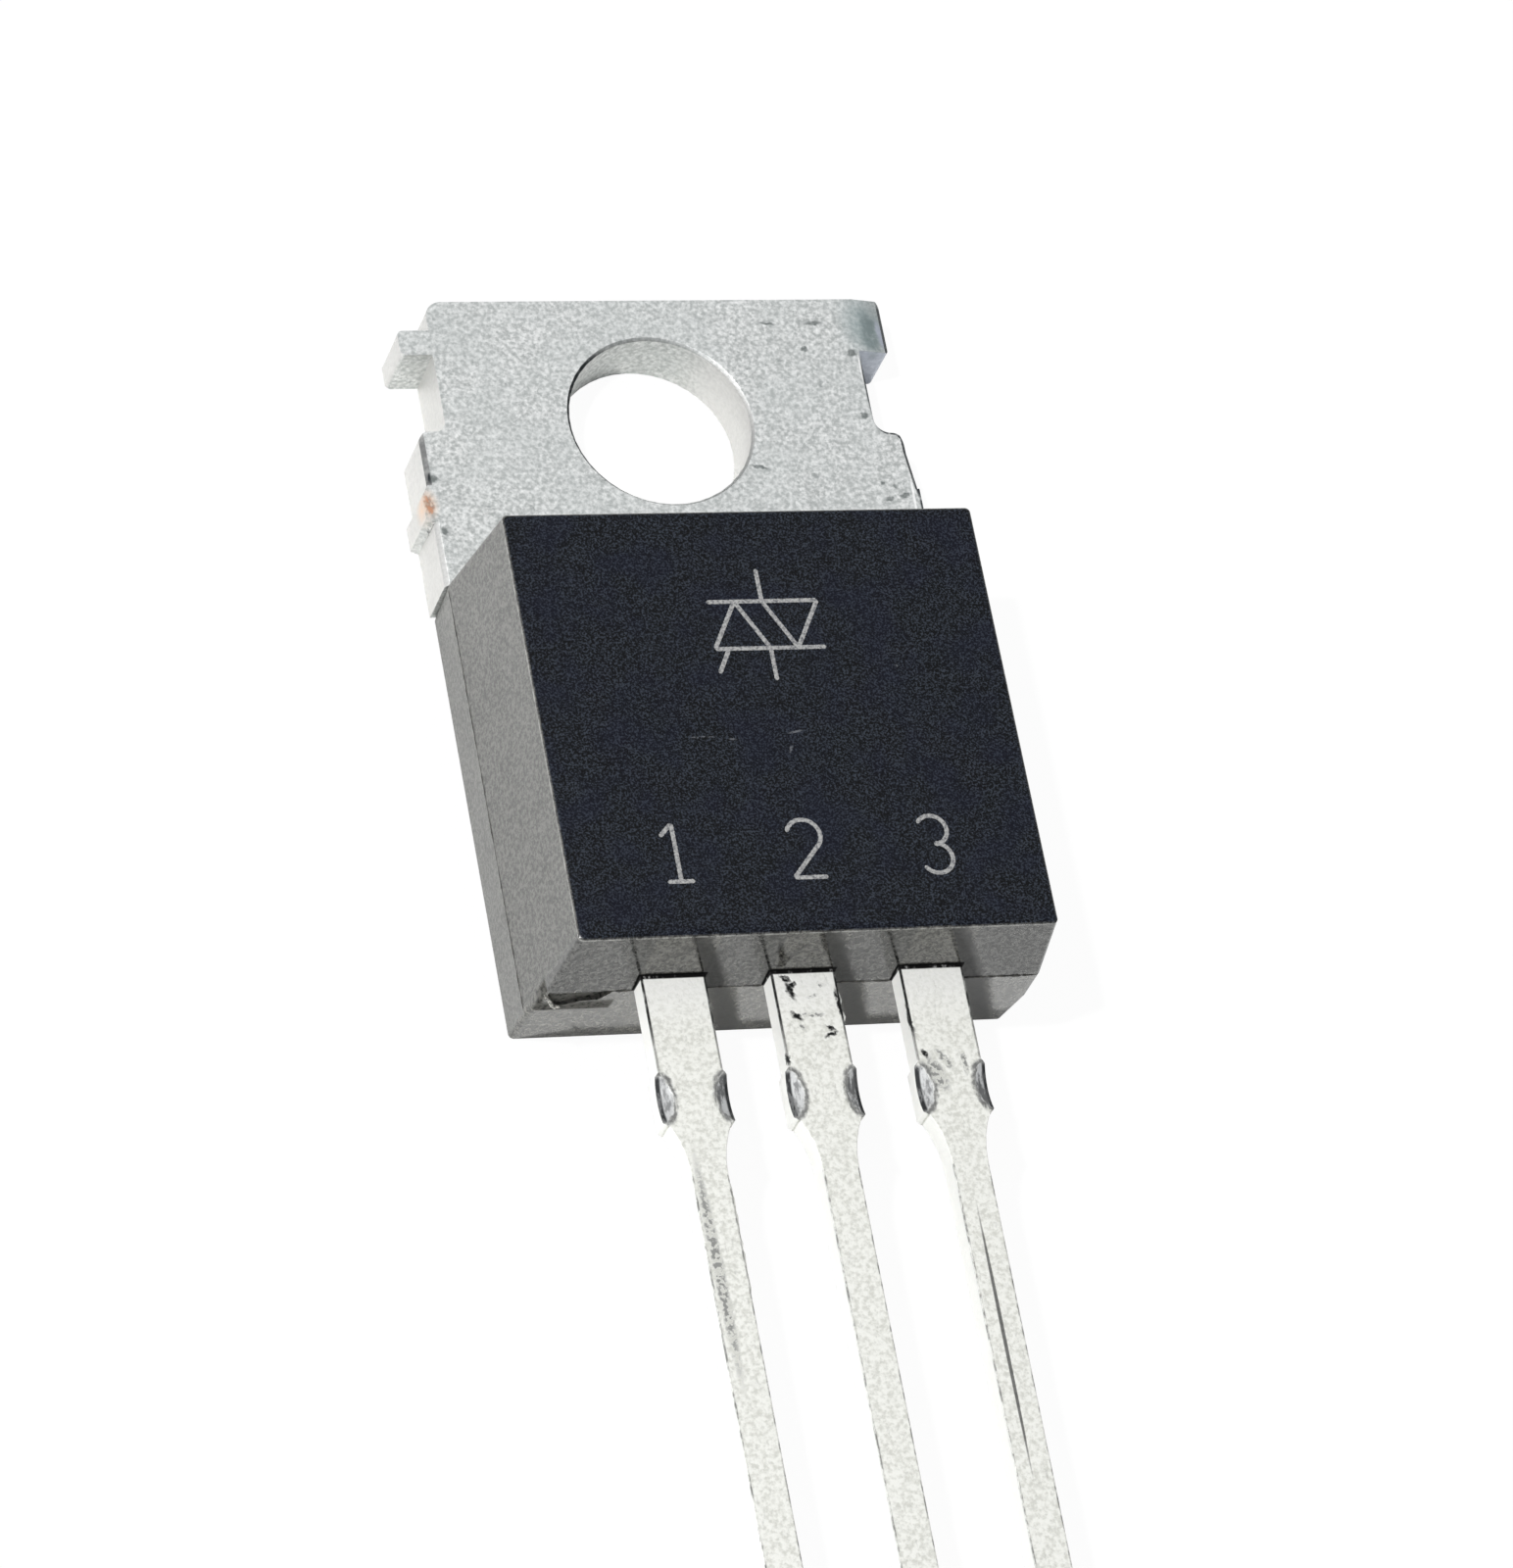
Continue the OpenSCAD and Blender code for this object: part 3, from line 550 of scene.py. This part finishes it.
def matte_tin_lead(settings):
    """Matte tin on punched lead frame: brighter than the tab, painted almost white on the sheared
    left sides, which face the light, and less of a mirror there; painted paler towards the body,
    grey in the pressed dimples, with painted shade on their right-facing walls, along the edges and
    at the root; scraped at the roots by the trimming of resin, and bare copper on the cut tips."""
    made, tree, shader = new_material("matte tin plate on lead frame", Metallic=1.0)
    place = millimetres(tree)
    x, y, z = axes(tree, place)
    nx, _, nz = facing(tree)
    fleck = add(tree, "TexNoise", place, 1 / 0.09, 3.0, 0.6)
    drawn = add(tree, "VectorMath", place, (1.3, 0.45, 1), operation="MULTIPLY")
    wear = add(tree, "TexNoise", drawn, 1 / 0.16, 4.0, 0.7)
    colour = tone(tree, fleck, 0.3, 0.62, linear("#d7d7d1"), settings.lead_colour)
    # painted light: the leads drawn paler towards the body, against the dark resin they mirror
    # there
    colour = tone(tree, y, END_Y - 1.3, END_Y, colour, linear("#fcfcfa"), most=0.6)
    colour = tone(tree, wear, 0.58, 0.72, colour, linear("#a6a6a2"), most=0.3)
    # painted light: the sheared left sides, which face the light, drawn almost white
    colour = tone(tree, nx, -0.85, -0.4, colour, linear("#f6f6f3"), 0.9, 0)

    # the pressed dimples, grey with a darker broken rim
    off = from_lead_middle(tree, x)
    folded = add(tree, "CombineXYZ", off, y, z)
    rough = ragged(tree, folded, 0.12, 0.03)
    middle = (LEAD_HALF + 0.07, STUB_Y - STUB_LENGTH / 2, LEAD_Z)
    up = add(tree, "MapRange", nz, 0.1, 0.3, **SMOOTH)
    core = spot(tree, rough, middle, (0.33, 0.56, 0.4), 0.0, 0.25)
    rim = both(tree, spot(tree, rough, middle, (0.38, 0.63, 0.45), 0.0, 0.15), up,
               add(tree, "MapRange", core, 0.3, 0.8, 1, 0, **SMOOTH),
               add(tree, "MapRange", wear, 0.35, 0.55, 0.1, 0.7, **SMOOTH))
    outer = both(tree, core, up, inside(tree, off, 0.62, 0.8, 0.02),
                 add(tree, "MapRange", wear, 0.4, 0.52, 0.4, 1, **SMOOTH))
    dent = both(tree, core, up)
    grey = tone(tree, wear, 0.38, 0.58, linear("#8b8c8d"), linear("#cfd0d0"))
    # painted shade: the dimple walls that face right drawn darker
    shade = tone(tree, wear, 0.42, 0.58, linear("#6c6d6e"), linear("#d0d1d1"))
    grey = tone(tree, nx, 0.1, 0.3, grey, shade)
    colour = add(tree, "Mix", both(tree, dent, 0.9), colour, grey, **RGBA)
    colour = add(tree, "Mix", either(tree, rim, outer), colour, linear("#434445"), **RGBA)

    # painted shade: a dark line where the front turns into the sides, strongest next to the body
    wide = both(tree, inside(tree, off, LEAD_HALF - 0.042, LEAD_HALF + 0.03, 0.012),
                add(tree, "MapRange", y, STUB_Y, STUB_Y + 0.05, **SMOOTH),
                add(tree, "MapRange", y, END_Y - 1.6, END_Y - 0.8, 0.5, 1, **SMOOTH))
    thin = both(tree, inside(tree, off, THIN_HALF - 0.03, THIN_HALF + 0.03, 0.012),
                add(tree, "MapRange", y, THIN_Y - 0.05, THIN_Y, 1, 0, **SMOOTH),
                add(tree, "MapRange", wear, 0.45, 0.6, 0.12, 0.65, **SMOOTH))
    line = both(tree, either(tree, wide, thin),
                add(tree, "MapRange", z, LEAD_Z - 0.045, LEAD_Z - 0.02, **SMOOTH),
                add(tree, "MapRange", wear, 0.3, 0.5, 0.55, 1, **SMOOTH))
    colour = add(tree, "Mix", line, colour, linear("#2e2f2f"), **RGBA)
    # painted shadow: a dark line across each lead where it enters the body
    painted_root_shadow = both(tree, add(tree, "MapRange", y, END_Y - 0.035, END_Y - 0.01, **SMOOTH),
                   add(tree, "MapRange", wear, 0.3, 0.45, 0.5, 1, **SMOOTH))
    colour = add(tree, "Mix", painted_root_shadow, colour, linear("#1c1c1c"), **RGBA)

    # knife marks on the middle lead, smears on the gate lead, and a groove drawn down it
    crooked = ragged(tree, place, 0.09, 0.035)
    nick = rub(tree, crooked, (
        (-0.36, END_Y - 0.12, 0.13, 0.075, -0.5), (-0.3, END_Y - 0.38, 0.24, 0.085, -1.3),
        (-0.24, END_Y - 0.25, 0.11, 0.06, 0.6), (-0.28, END_Y - 0.9, 0.16, 0.075, -0.65),
        (0.34, END_Y - 1.17, 0.14, 0.06, -0.47), (0.33, END_Y - 1.3, 0.18, 0.05, 0.38),
        (0.6, END_Y - 0.7, 0.06, 0.45, 0.08), (PITCH - 0.63, END_Y - 1.0, 0.06, 0.5, 0.1),
        (PITCH - 0.46, END_Y - 1.77, 0.12, 0.06, -1.0), (-0.62, END_Y - 1.75, 0.07, 0.16, 0.2),
    ), LEAD_Z)
    faint = rub(tree, crooked, (
        (0.03, END_Y - 0.88, 0.3, 0.06, -0.05), (0.31, END_Y - 0.26, 0.14, 0.05, -0.3),
        (-0.2, END_Y - 1.15, 0.14, 0.05, -1.1), (0.1, END_Y - 0.5, 0.16, 0.04, 0.3),
        (PITCH - 0.28, END_Y - 2.2, 0.5, 0.2, -1.24), (PITCH - 0.1, END_Y - 1.9, 0.34, 0.1, -1.0),
        (-PITCH - 0.17, END_Y - 5.9, 2.8, 0.14, -1.55), (PITCH + 0.3, END_Y - 2.0, 0.07, 0.3, 0.0),
    ), LEAD_Z)
    groove = spot(tree, place, (PITCH - 0.045, END_Y - 7.6, LEAD_Z), (0.042, 3.0, 0.2), 0.0, 0.4)
    faint = both(tree, faint, add(tree, "MapRange", fleck, 0.45, 0.55, 0.1, 1, **SMOOTH))
    colour = add(tree, "Mix", both(tree, faint, 0.75), colour, linear("#70716f"), **RGBA)
    scratch = either(tree,
                     both(tree, nick, add(tree, "MapRange", fleck, 0.3, 0.5, 0.4, 1, **SMOOTH)),
                     both(tree, groove, 0.75))
    colour = add(tree, "Mix", scratch, colour, linear("#262727"), **RGBA)
    cut = add(tree, "MapRange", y, TIP_Y + 0.01, TIP_Y + 0.03, 1, 0, **SMOOTH)
    colour = add(tree, "Mix", cut, colour, settings.copper_colour, **RGBA)
    gloss = add(tree, "MapRange", fleck, 0.3, 0.7, 0.82, 0.7, **SMOOTH)
    relief = add(tree, "Math", scratch, -3.0, fleck, operation="MULTIPLY_ADD")
    feed(tree, shader, Base_Color=colour, Roughness=either(tree, gloss, both(tree, dent, 0.8)),
         Metallic=add(tree, "MapRange", nx, -0.85, -0.4, 0.3, 1, **SMOOTH),
         Normal=add(tree, "Bump", 0.6, 0.008 * MM, None, relief))
    return made


def soft_solder():
    """Soft solder, reflowed: dull grey metal with a fine frosty crust."""
    made, tree, shader = new_material("reflowed soft solder", Metallic=1.0)
    crust = add(tree, "TexNoise", millimetres(tree), 1 / 0.09, 3.0)
    feed(tree, shader, Base_Color=tone(tree, crust, 0.3, 0.7, linear("#8b8e92"), linear("#b3b5b8")),
         Roughness=add(tree, "MapRange", crust, 0.3, 0.7, 0.55, 0.35, **SMOOTH),
         Normal=add(tree, "Bump", 0.5, 0.01 * MM, None, crust))
    return made


def bonded_copper(settings):
    """Rolled copper foil fused to ceramic: warm satin metal with coarse grains from the furnace."""
    made, tree, shader = new_material("direct-bonded copper foil", Metallic=1.0)
    place = millimetres(tree)
    grains = add(tree, "TexVoronoi", place, 1 / 0.3)
    drawn = add(tree, "VectorMath", place, (1, 0.08, 1), operation="MULTIPLY")
    rolled = add(tree, "TexNoise", drawn, 1 / 0.05, 2.0, 0.5)
    feed(tree, shader,
         Base_Color=tone(tree, grains, 0.1, 0.6, settings.copper_colour, linear("#b9744f")),
         Roughness=add(tree, "MapRange", rolled, 0.3, 0.7, 0.28, 0.4, **SMOOTH),
         Normal=add(tree, "Bump", 0.5, 0.003 * MM, None, rolled))
    return made


def fired_alumina():
    """Tape-cast alumina, fired: off-white, dense and matte, with a fine grain."""
    made, tree, shader = new_material("fired alumina", IOR=1.76, Roughness=0.55)
    grain = add(tree, "TexNoise", millimetres(tree), 1 / 0.04, 3.0)
    feed(tree, shader, Base_Color=tone(tree, grain, 0.3, 0.7, linear("#e2dfd5"), linear("#f1efe8")),
         Normal=add(tree, "Bump", 0.5, 0.004 * MM, None, grain))
    return made


def lapped_silicon():
    """Silicon wafer, lapped and sawn: dark blue-grey with a low lustre and fine saw lines."""
    made, tree, shader = new_material("lapped silicon", Metallic=0.6)
    sawn = add(tree, "VectorMath", millimetres(tree), (1, 1, 8), operation="MULTIPLY")
    lines = add(tree, "TexNoise", sawn, 1 / 0.03, 2.0, 0.5)
    feed(tree, shader, Base_Color=tone(tree, lines, 0.3, 0.7, linear("#3c3f4a"), linear("#565a66")),
         Roughness=add(tree, "MapRange", lines, 0.3, 0.7, 0.22, 0.35, **SMOOTH))
    return made


def evaporated_aluminium():
    """Aluminium evaporated on the chip: a bright silvery film with a slight haze."""
    made, tree, shader = new_material("evaporated aluminium", Metallic=1.0)
    haze = add(tree, "TexNoise", millimetres(tree), 1 / 0.2, 3.0)
    feed(tree, shader, Base_Color=tone(tree, haze, 0.3, 0.7, linear("#d4d5d8"), linear("#e9eaec")),
         Roughness=add(tree, "MapRange", haze, 0.3, 0.7, 0.2, 0.32, **SMOOTH))
    return made


def drawn_aluminium():
    """Aluminium wire, drawn: bright, with faint drawing lines along it."""
    made, tree, shader = new_material("drawn aluminium wire", Metallic=1.0)
    drawn = add(tree, "VectorMath", millimetres(tree), (1, 0.1, 0.3), operation="MULTIPLY")
    lines = add(tree, "TexNoise", drawn, 1 / 0.04, 2.0, 0.5)
    feed(tree, shader, Base_Color=tone(tree, lines, 0.3, 0.7, linear("#c9cacc"), linear("#e4e5e6")),
         Roughness=add(tree, "MapRange", lines, 0.3, 0.7, 0.25, 0.4, **SMOOTH),
         Normal=add(tree, "Bump", 0.4, 0.003 * MM, None, lines))
    return made


def studio_floor(settings):
    """Painted studio floor: plain and pale, white to the camera and with the soft shadow kept."""
    made, tree, shader = new_material("painted studio floor", Base_Color=settings.floor_colour,
                                      Roughness=0.9, Specular_IOR_Level=0.1)
    rays = tree.nodes.new("ShaderNodeLightPath")
    shown = both(tree, rays.outputs["Is Camera Ray"], settings.floor_white)
    mirrored = either(tree, rays.outputs["Is Glossy Ray"], rays.outputs["Is Transmission Ray"])
    white = add(tree, "Emission", linear("#ffffff"), 1.0)
    mixed = add(tree, "MixShader", either(tree, shown, both(tree, mirrored, 0.1)),
                shader.outputs[0], white)
    output = next(node for node in tree.nodes if node.type == "OUTPUT_MATERIAL")
    tree.links.new(mixed, output.inputs["Surface"])
    return made


# --- added pieces -----------------------------------------------------------------

def arc(centre, radius, start, end, steps=16):
    """Points on a circle's arc between two angles in degrees."""
    angles = [math.radians(start + (end - start) * k / steps) for k in range(steps + 1)]
    return [(centre[0] + radius * math.cos(a), centre[1] + radius * math.sin(a)) for a in angles]


def walk(points, step):
    """Even places along a line of points, each with its direction and the distance so far."""
    gone = 0.0
    places = []
    for a, b in zip(points, points[1:]):
        a, b = Vector(a), Vector(b)
        way = (b - a).normalized()
        count = max(1, round((b - a).length / step))
        places += [(a.lerp(b, k / count), way, gone + (b - a).length * k / count)
                   for k in range(count)]
        gone += (b - a).length
    places.append((Vector(points[-1]), way, gone))
    return places, gone


def tube_of_rings(body, rings):
    """Joins rings of equal length into one closed skin."""
    rings = [[body.verts.new(point) for point in ring] for ring in rings]
    for near, far in zip(rings, rings[1:]):
        for k in range(len(near)):
            n = (k + 1) % len(near)
            body.faces.new((near[k], near[n], far[n], far[k]))
    body.faces.new(rings[0])
    body.faces.new(reversed(rings[-1]))


def laser_stroke(body, points, width, height, pulse):
    """One drawn line of the marking laser: a low ridge with round ends and a pulse's ripple."""
    places, total = walk(points, pulse / 3)
    rings = []
    for where, way, gone in places:
        to_end = min(gone, total - gone, width / 2)
        cap = math.sqrt(max(1 - (1 - 2 * to_end / width) ** 2, 0.02))
        half = width / 2 * cap * (1 + 0.07 * math.cos(2 * math.pi * gone / pulse))
        across = Vector((-way.y, way.x)) * half
        top = height * (0.7 + 0.3 * cap * math.cos(2 * math.pi * gone / pulse) ** 2)
        left, right = where + across, where - across
        rings.append([(left.x, left.y, FACE_Z - SUNK), (right.x, right.y, FACE_Z - SUNK),
                      (right.x, right.y, FACE_Z + top / 2), (where.x, where.y, FACE_Z + top),
                      (left.x, left.y, FACE_Z + top / 2)])
    tube_of_rings(body, rings)


def segments(points):
    """Each straight stretch of a line by itself."""
    return [[a, b] for a, b in zip(points, points[1:])]


def numeral_strokes(numeral, x, y, height):
    """Lines of a plain 1, 2 or 3 with its lower left corner at x, y."""
    w, r = height * 0.55, height * 0.275
    if numeral == 1:
        return [[(x + w * 0.1, y + height * 0.78), (x + w * 0.5, y + height)],
                [(x + w * 0.5, y + height), (x + w * 0.5, y)],
                [(x + w * 0.1, y), (x + w * 0.9, y)]]
    if numeral == 2:
        bow = arc((x + r, y + height - r), r, 165, -35)
        return [bow + [(x, y)], [(x, y), (x + w, y)]]
    upper = arc((x + r, y + height - r * 0.91), r * 0.91, 150, -90)
    lower = arc((x + r, y + r * 0.95), r * 0.95, 90, -150)
    return [upper, lower]


def triac_strokes(x, y, size):
    """Lines of the usual circuit symbol of a two-way thyristor, centred on x, y."""
    bar, gap, lead = size * 0.46, size * 0.21, size * 0.29
    left, right = x - bar / 2, x + bar / 2
    top, low = y + gap, y - gap
    return [
        [(x - bar, top), (x + bar, top)], [(x - bar, low), (x + bar, low)],
        *segments([(left - bar / 2, low), (left, top), (left + bar / 2, low)]),
        *segments([(right - bar / 2, top), (right, low), (right + bar / 2, top)]),
        [(x, top), (x, top + lead)], [(x, low), (x, low - lead)],
        [(x - bar, low - lead * 0.75), (left - bar / 4, low)],
    ]


def flash_fin(body, start, end, out, thick, step, chance):
    """Ragged fin of moulding flash from start to end, standing out along out."""
    start, end, out = Vector(start), Vector(end), Vector(out)
    run = end - start
    upright = out.cross(run).normalized() * thick
    count = max(2, round(run.length / step))
    rings = []
    for k in range(count + 1):
        where = start + run * (k / count)
        reach = out * chance.uniform(0.25, 1.0) * (0.3 if k in (0, count) else 1)
        lean = upright * chance.uniform(-0.4, 0.4)
        root, tip, thin = where - out * 0.6, where + reach + lean, upright * 0.3
        rings.append([root + upright, root - upright, tip - thin, tip + thin])
    tube_of_rings(body, rings)


def snapped_ridge(body, points, wall_y, width, chance):
    """Crumbled rim of a break along points given as x, z, standing out of the end wall."""
    places, total = walk(points, width * 0.45)
    rings = []
    for where, way, gone in places:
        taper = math.sqrt(max(1 - abs(2 * gone / total - 1) ** 2, 0.04))
        half = width / 2 * taper * chance.uniform(0.6, 1.25)
        across = Vector((-way.y, way.x)) * half
        out = wall_y - 0.045 * taper * chance.uniform(0.3, 1.2)
        crest = where.x + chance.uniform(-0.2, 0.2) * half
        a, b, root, lip = where + across, where - across, wall_y + 0.05, wall_y - 0.004
        rings.append([(a.x, root, a.y), (a.x, lip, a.y), (crest, out, where.y),
                      (b.x, lip, b.y), (b.x, root, b.y)])
    tube_of_rings(body, rings)


# --- operators --------------------------------------------------------------------

class THYRISTOR_OT_body(bpy.types.Operator):
    """Finish the moulded body"""
    bl_idname = "thyristor.body"
    bl_label = "Moulded body"

    def execute(self, context):
        finish("mold_body", moulded_epoxy(context.scene.thyristor_resin))
        return {"FINISHED"}


class THYRISTOR_OT_flash(bpy.types.Operator):
    """Add the moulding flash along the parting lines and the snapped rim of the gate"""
    bl_idname = "thyristor.flash"
    bl_label = "Moulding flash"

    def execute(self, context):
        out = context.scene.thyristor_marking.flash / MM
        chance = random.Random(7)
        body = bmesh.new()

        # along both sides at the tab's front plane, then along the end wall between the leads,
        # right of them and a little way left of them
        for x, side in ((BODY_LOW.x, -1), (BODY_HIGH.x, 1)):
            flash_fin(body, (x, TOP_WALL_Y - 0.15, TAB_Z), (x, END_Y + 0.25, TAB_Z),
                      (side * out * 0.5, 0, 0), thick=0.006, step=0.09, chance=chance)
        middle, end = PITCH / 2, PITCH + LEAD_HALF + 0.02
        half = middle - LEAD_HALF - 0.02
        for left, right in ((-middle - half, -middle + half), (middle - half, middle + half),
                            (end, BODY_HIGH.x - 0.25), (-end - 0.35, -end)):
            flash_fin(body, (left, END_Y, LEAD_BACK_Z), (right, END_Y, LEAD_BACK_Z),
                      (0, -out, 0), thick=0.012, step=0.07, chance=chance)
        piece("mould_flash", body, resin_flash())

        body = bmesh.new()
        low = LEAD_BACK_Z
        snapped_ridge(body, [(-4.84, low - 0.2), (-4.74, low - 0.32), (-4.66, low - 0.48),
                             (-4.57, low - 0.66), (-4.42, low - 0.7)],
                      wall_y=END_Y + 0.03, width=0.06, chance=chance)
        piece("gate_break", body, broken_epoxy())
        return {"FINISHED"}


class THYRISTOR_OT_marking(bpy.types.Operator):
    """Mark the front face with the circuit symbol and the lead numbers"""
    bl_idname = "thyristor.marking"
    bl_label = "Laser marking"

    def execute(self, context):
        settings = context.scene.thyristor_marking
        width, ridge, pulse = settings.line / MM, settings.ridge / MM, settings.pulse / MM
        symbol, height = settings.symbol / MM, settings.numeral / MM
        strokes = triac_strokes(SYMBOL_X, SYMBOL_Y, symbol)
        for numeral, x in ((1, -PITCH), (2, 0), (3, PITCH)):
            strokes += numeral_strokes(numeral, x - 0.27 * height, NUMERALS_Y, height)
        body = bmesh.new()
        for points in strokes:
            laser_stroke(body, points, width, ridge, pulse)
        piece("laser_marking", body, lasered_epoxy())
        return {"FINISHED"}


class THYRISTOR_OT_tab(bpy.types.Operator):
    """Finish the heatsink tab"""
    bl_idname = "thyristor.tab"
    bl_label = "Heatsink tab"

    def execute(self, context):
        finish("heatsink_tab", matte_tin_tab(context.scene.thyristor_tin))
        soften("heatsink_tab", 0.03)
        return {"FINISHED"}


class THYRISTOR_OT_leads(bpy.types.Operator):
    """Finish the three leads"""
    bl_idname = "thyristor.leads"
    bl_label = "Leads"

    def execute(self, context):
        made = matte_tin_lead(context.scene.thyristor_tin)
        for node in LEADS:
            finish(node, made)
            soften(node, 0.04)

        # burrs that the trimming tool left on two right edges
        chance = random.Random(3)
        body = bmesh.new()
        for x, top, low, out in ((LEAD_HALF, END_Y - 0.35, END_Y - 1.05, 0.06),
                                 (THIN_HALF - PITCH, END_Y - 4.2, END_Y - 6.4, 0.05)):
            flash_fin(body, (x, top, LEAD_Z - 0.06), (x, low, LEAD_Z - 0.06), (out, 0, 0),
                      thick=0.035, step=0.11, chance=chance)
        piece("trimming_burrs", body, made)
        return {"FINISHED"}


class THYRISTOR_OT_inside(bpy.types.Operator):
    """Finish the isolating stack, the chip and the bond wires"""
    bl_idname = "thyristor.inside"
    bl_label = "Stack, chip and wires"

    def execute(self, context):
        solder, aluminium, wire = soft_solder(), evaporated_aluminium(), drawn_aluminium()
        copper = bonded_copper(context.scene.thyristor_tin)
        for node in ("plate_solder", "lead_solder", "die_solder"):
            finish(node, solder)
        for node in ("lower_foil", "upper_foil"):
            finish(node, copper)
        for node in ("main_contact", "gate_contact"):
            finish(node, aluminium)
        for node in ("main_wire_1", "main_wire_2", "gate_wire"):
            finish(node, wire)
        finish("insulator_plate", fired_alumina())
        finish("silicon_die", lapped_silicon())
        return {"FINISHED"}


class THYRISTOR_OT_stage(bpy.types.Operator):
    """Set the floor, the lights, the world and the camera"""
    bl_idname = "thyristor.stage"
    bl_label = "Studio"

    def execute(self, context):
        settings = context.scene.thyristor_stage

        # a hair below the heatsink face, so that the two don't coincide
        bpy.ops.mesh.primitive_plane_add(size=3, location=(0, 0, -0.002 * MM))
        floor = context.object
        floor.name = "studio_floor"
        floor.data.materials.append(studio_floor(settings))

        world = bpy.data.worlds.new("studio")
        context.scene.world = world
        world.use_nodes = True
        tree = world.node_tree
        tree.nodes.clear()
        rays = tree.nodes.new("ShaderNodeLightPath")
        way = tree.nodes.new("ShaderNodeTexCoord").outputs["Generated"]
        height = axes(tree, way)[2]
        dome = add(tree, "MapRange", height, 0.1, 0.75, settings.fill, settings.overhead, **SMOOTH)
        even = add(tree, "Background", linear("#f8faff"), dome)
        white = add(tree, "Background", linear("#ffffff"), 1.0)
        shown = add(tree, "MixShader", rays.outputs["Is Camera Ray"], even, white)
        add(tree, "OutputWorld", shown)

        for name, place, size, power in (
            ("key_light", (-0.118, -0.025, 0.22), 0.008, settings.key_power),
            ("side_softbox", (-0.187, -0.055, 0.077), 0.14, settings.side_power),
            ("top_softbox", (0.1, 0.12, 0.25), 0.16, settings.top_power),
        ):
            light = bpy.data.lights.new(name, "AREA")
            light.shape = "SQUARE"
            light.size = size
            light.energy = power
            lamp = bpy.data.objects.new(name, light)
            context.scene.collection.objects.link(lamp)
            lamp.location = place
            lamp.rotation_mode = "QUATERNION"
            lamp.rotation_quaternion = (-Vector(place)).to_track_quat("-Z", "Y")

        self.camera(context.scene, settings)
        view = context.scene.view_settings
        view.view_transform = "Standard"
        return {"FINISHED"}

    def camera(self, scene, settings):
        a, e = settings.azimuth, settings.elevation
        back = Vector((math.sin(a) * math.cos(e), -math.cos(a) * math.cos(e), math.sin(e)))
        level = (-back).cross(Vector((0, 0, 1))).normalized()
        upright = level.cross(-back)
        right = level * math.cos(settings.roll) + upright * math.sin(settings.roll)
        up = back.cross(right)
        data = bpy.data.cameras.new("camera")
        data.lens = settings.lens
        data.shift_x, data.shift_y = settings.shift
        data.clip_start = 0.001
        data.clip_end = 20
        camera = bpy.data.objects.new("camera", data)
        scene.collection.objects.link(camera)
        turn = Matrix((right, up, back)).transposed().to_4x4()
        where = Vector(settings.aim) + back * settings.distance
        camera.matrix_world = Matrix.Translation(where) @ turn
        scene.camera = camera


class THYRISTOR_PT_panel(bpy.types.Panel):
    bl_label = "Thyristor"
    bl_space_type = "VIEW_3D"
    bl_region_type = "UI"
    bl_category = "Thyristor"

    def draw(self, context):
        for operator in OPERATORS:
            self.layout.operator(operator.bl_idname)


OPERATORS = (THYRISTOR_OT_body, THYRISTOR_OT_flash, THYRISTOR_OT_marking, THYRISTOR_OT_tab,
             THYRISTOR_OT_leads, THYRISTOR_OT_inside, THYRISTOR_OT_stage)
GROUPS = {"thyristor_resin": ResinSettings, "thyristor_tin": TinSettings,
          "thyristor_marking": MarkingSettings, "thyristor_stage": StageSettings}


def register():
    for kind in (*GROUPS.values(), *OPERATORS, THYRISTOR_PT_panel):
        bpy.utils.register_class(kind)
    for name, kind in GROUPS.items():
        setattr(bpy.types.Scene, name, bpy.props.PointerProperty(type=kind))


def unregister():
    for name in GROUPS:
        delattr(bpy.types.Scene, name)
    for kind in (THYRISTOR_PT_panel, *reversed(OPERATORS), *GROUPS.values()):
        bpy.utils.unregister_class(kind)


def main():
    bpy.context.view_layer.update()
    register()
    bpy.ops.thyristor.body()
    bpy.ops.thyristor.flash()
    bpy.ops.thyristor.marking()
    bpy.ops.thyristor.tab()
    bpy.ops.thyristor.leads()
    bpy.ops.thyristor.inside()
    bpy.ops.thyristor.stage()


if __name__ == "__main__":
    main()
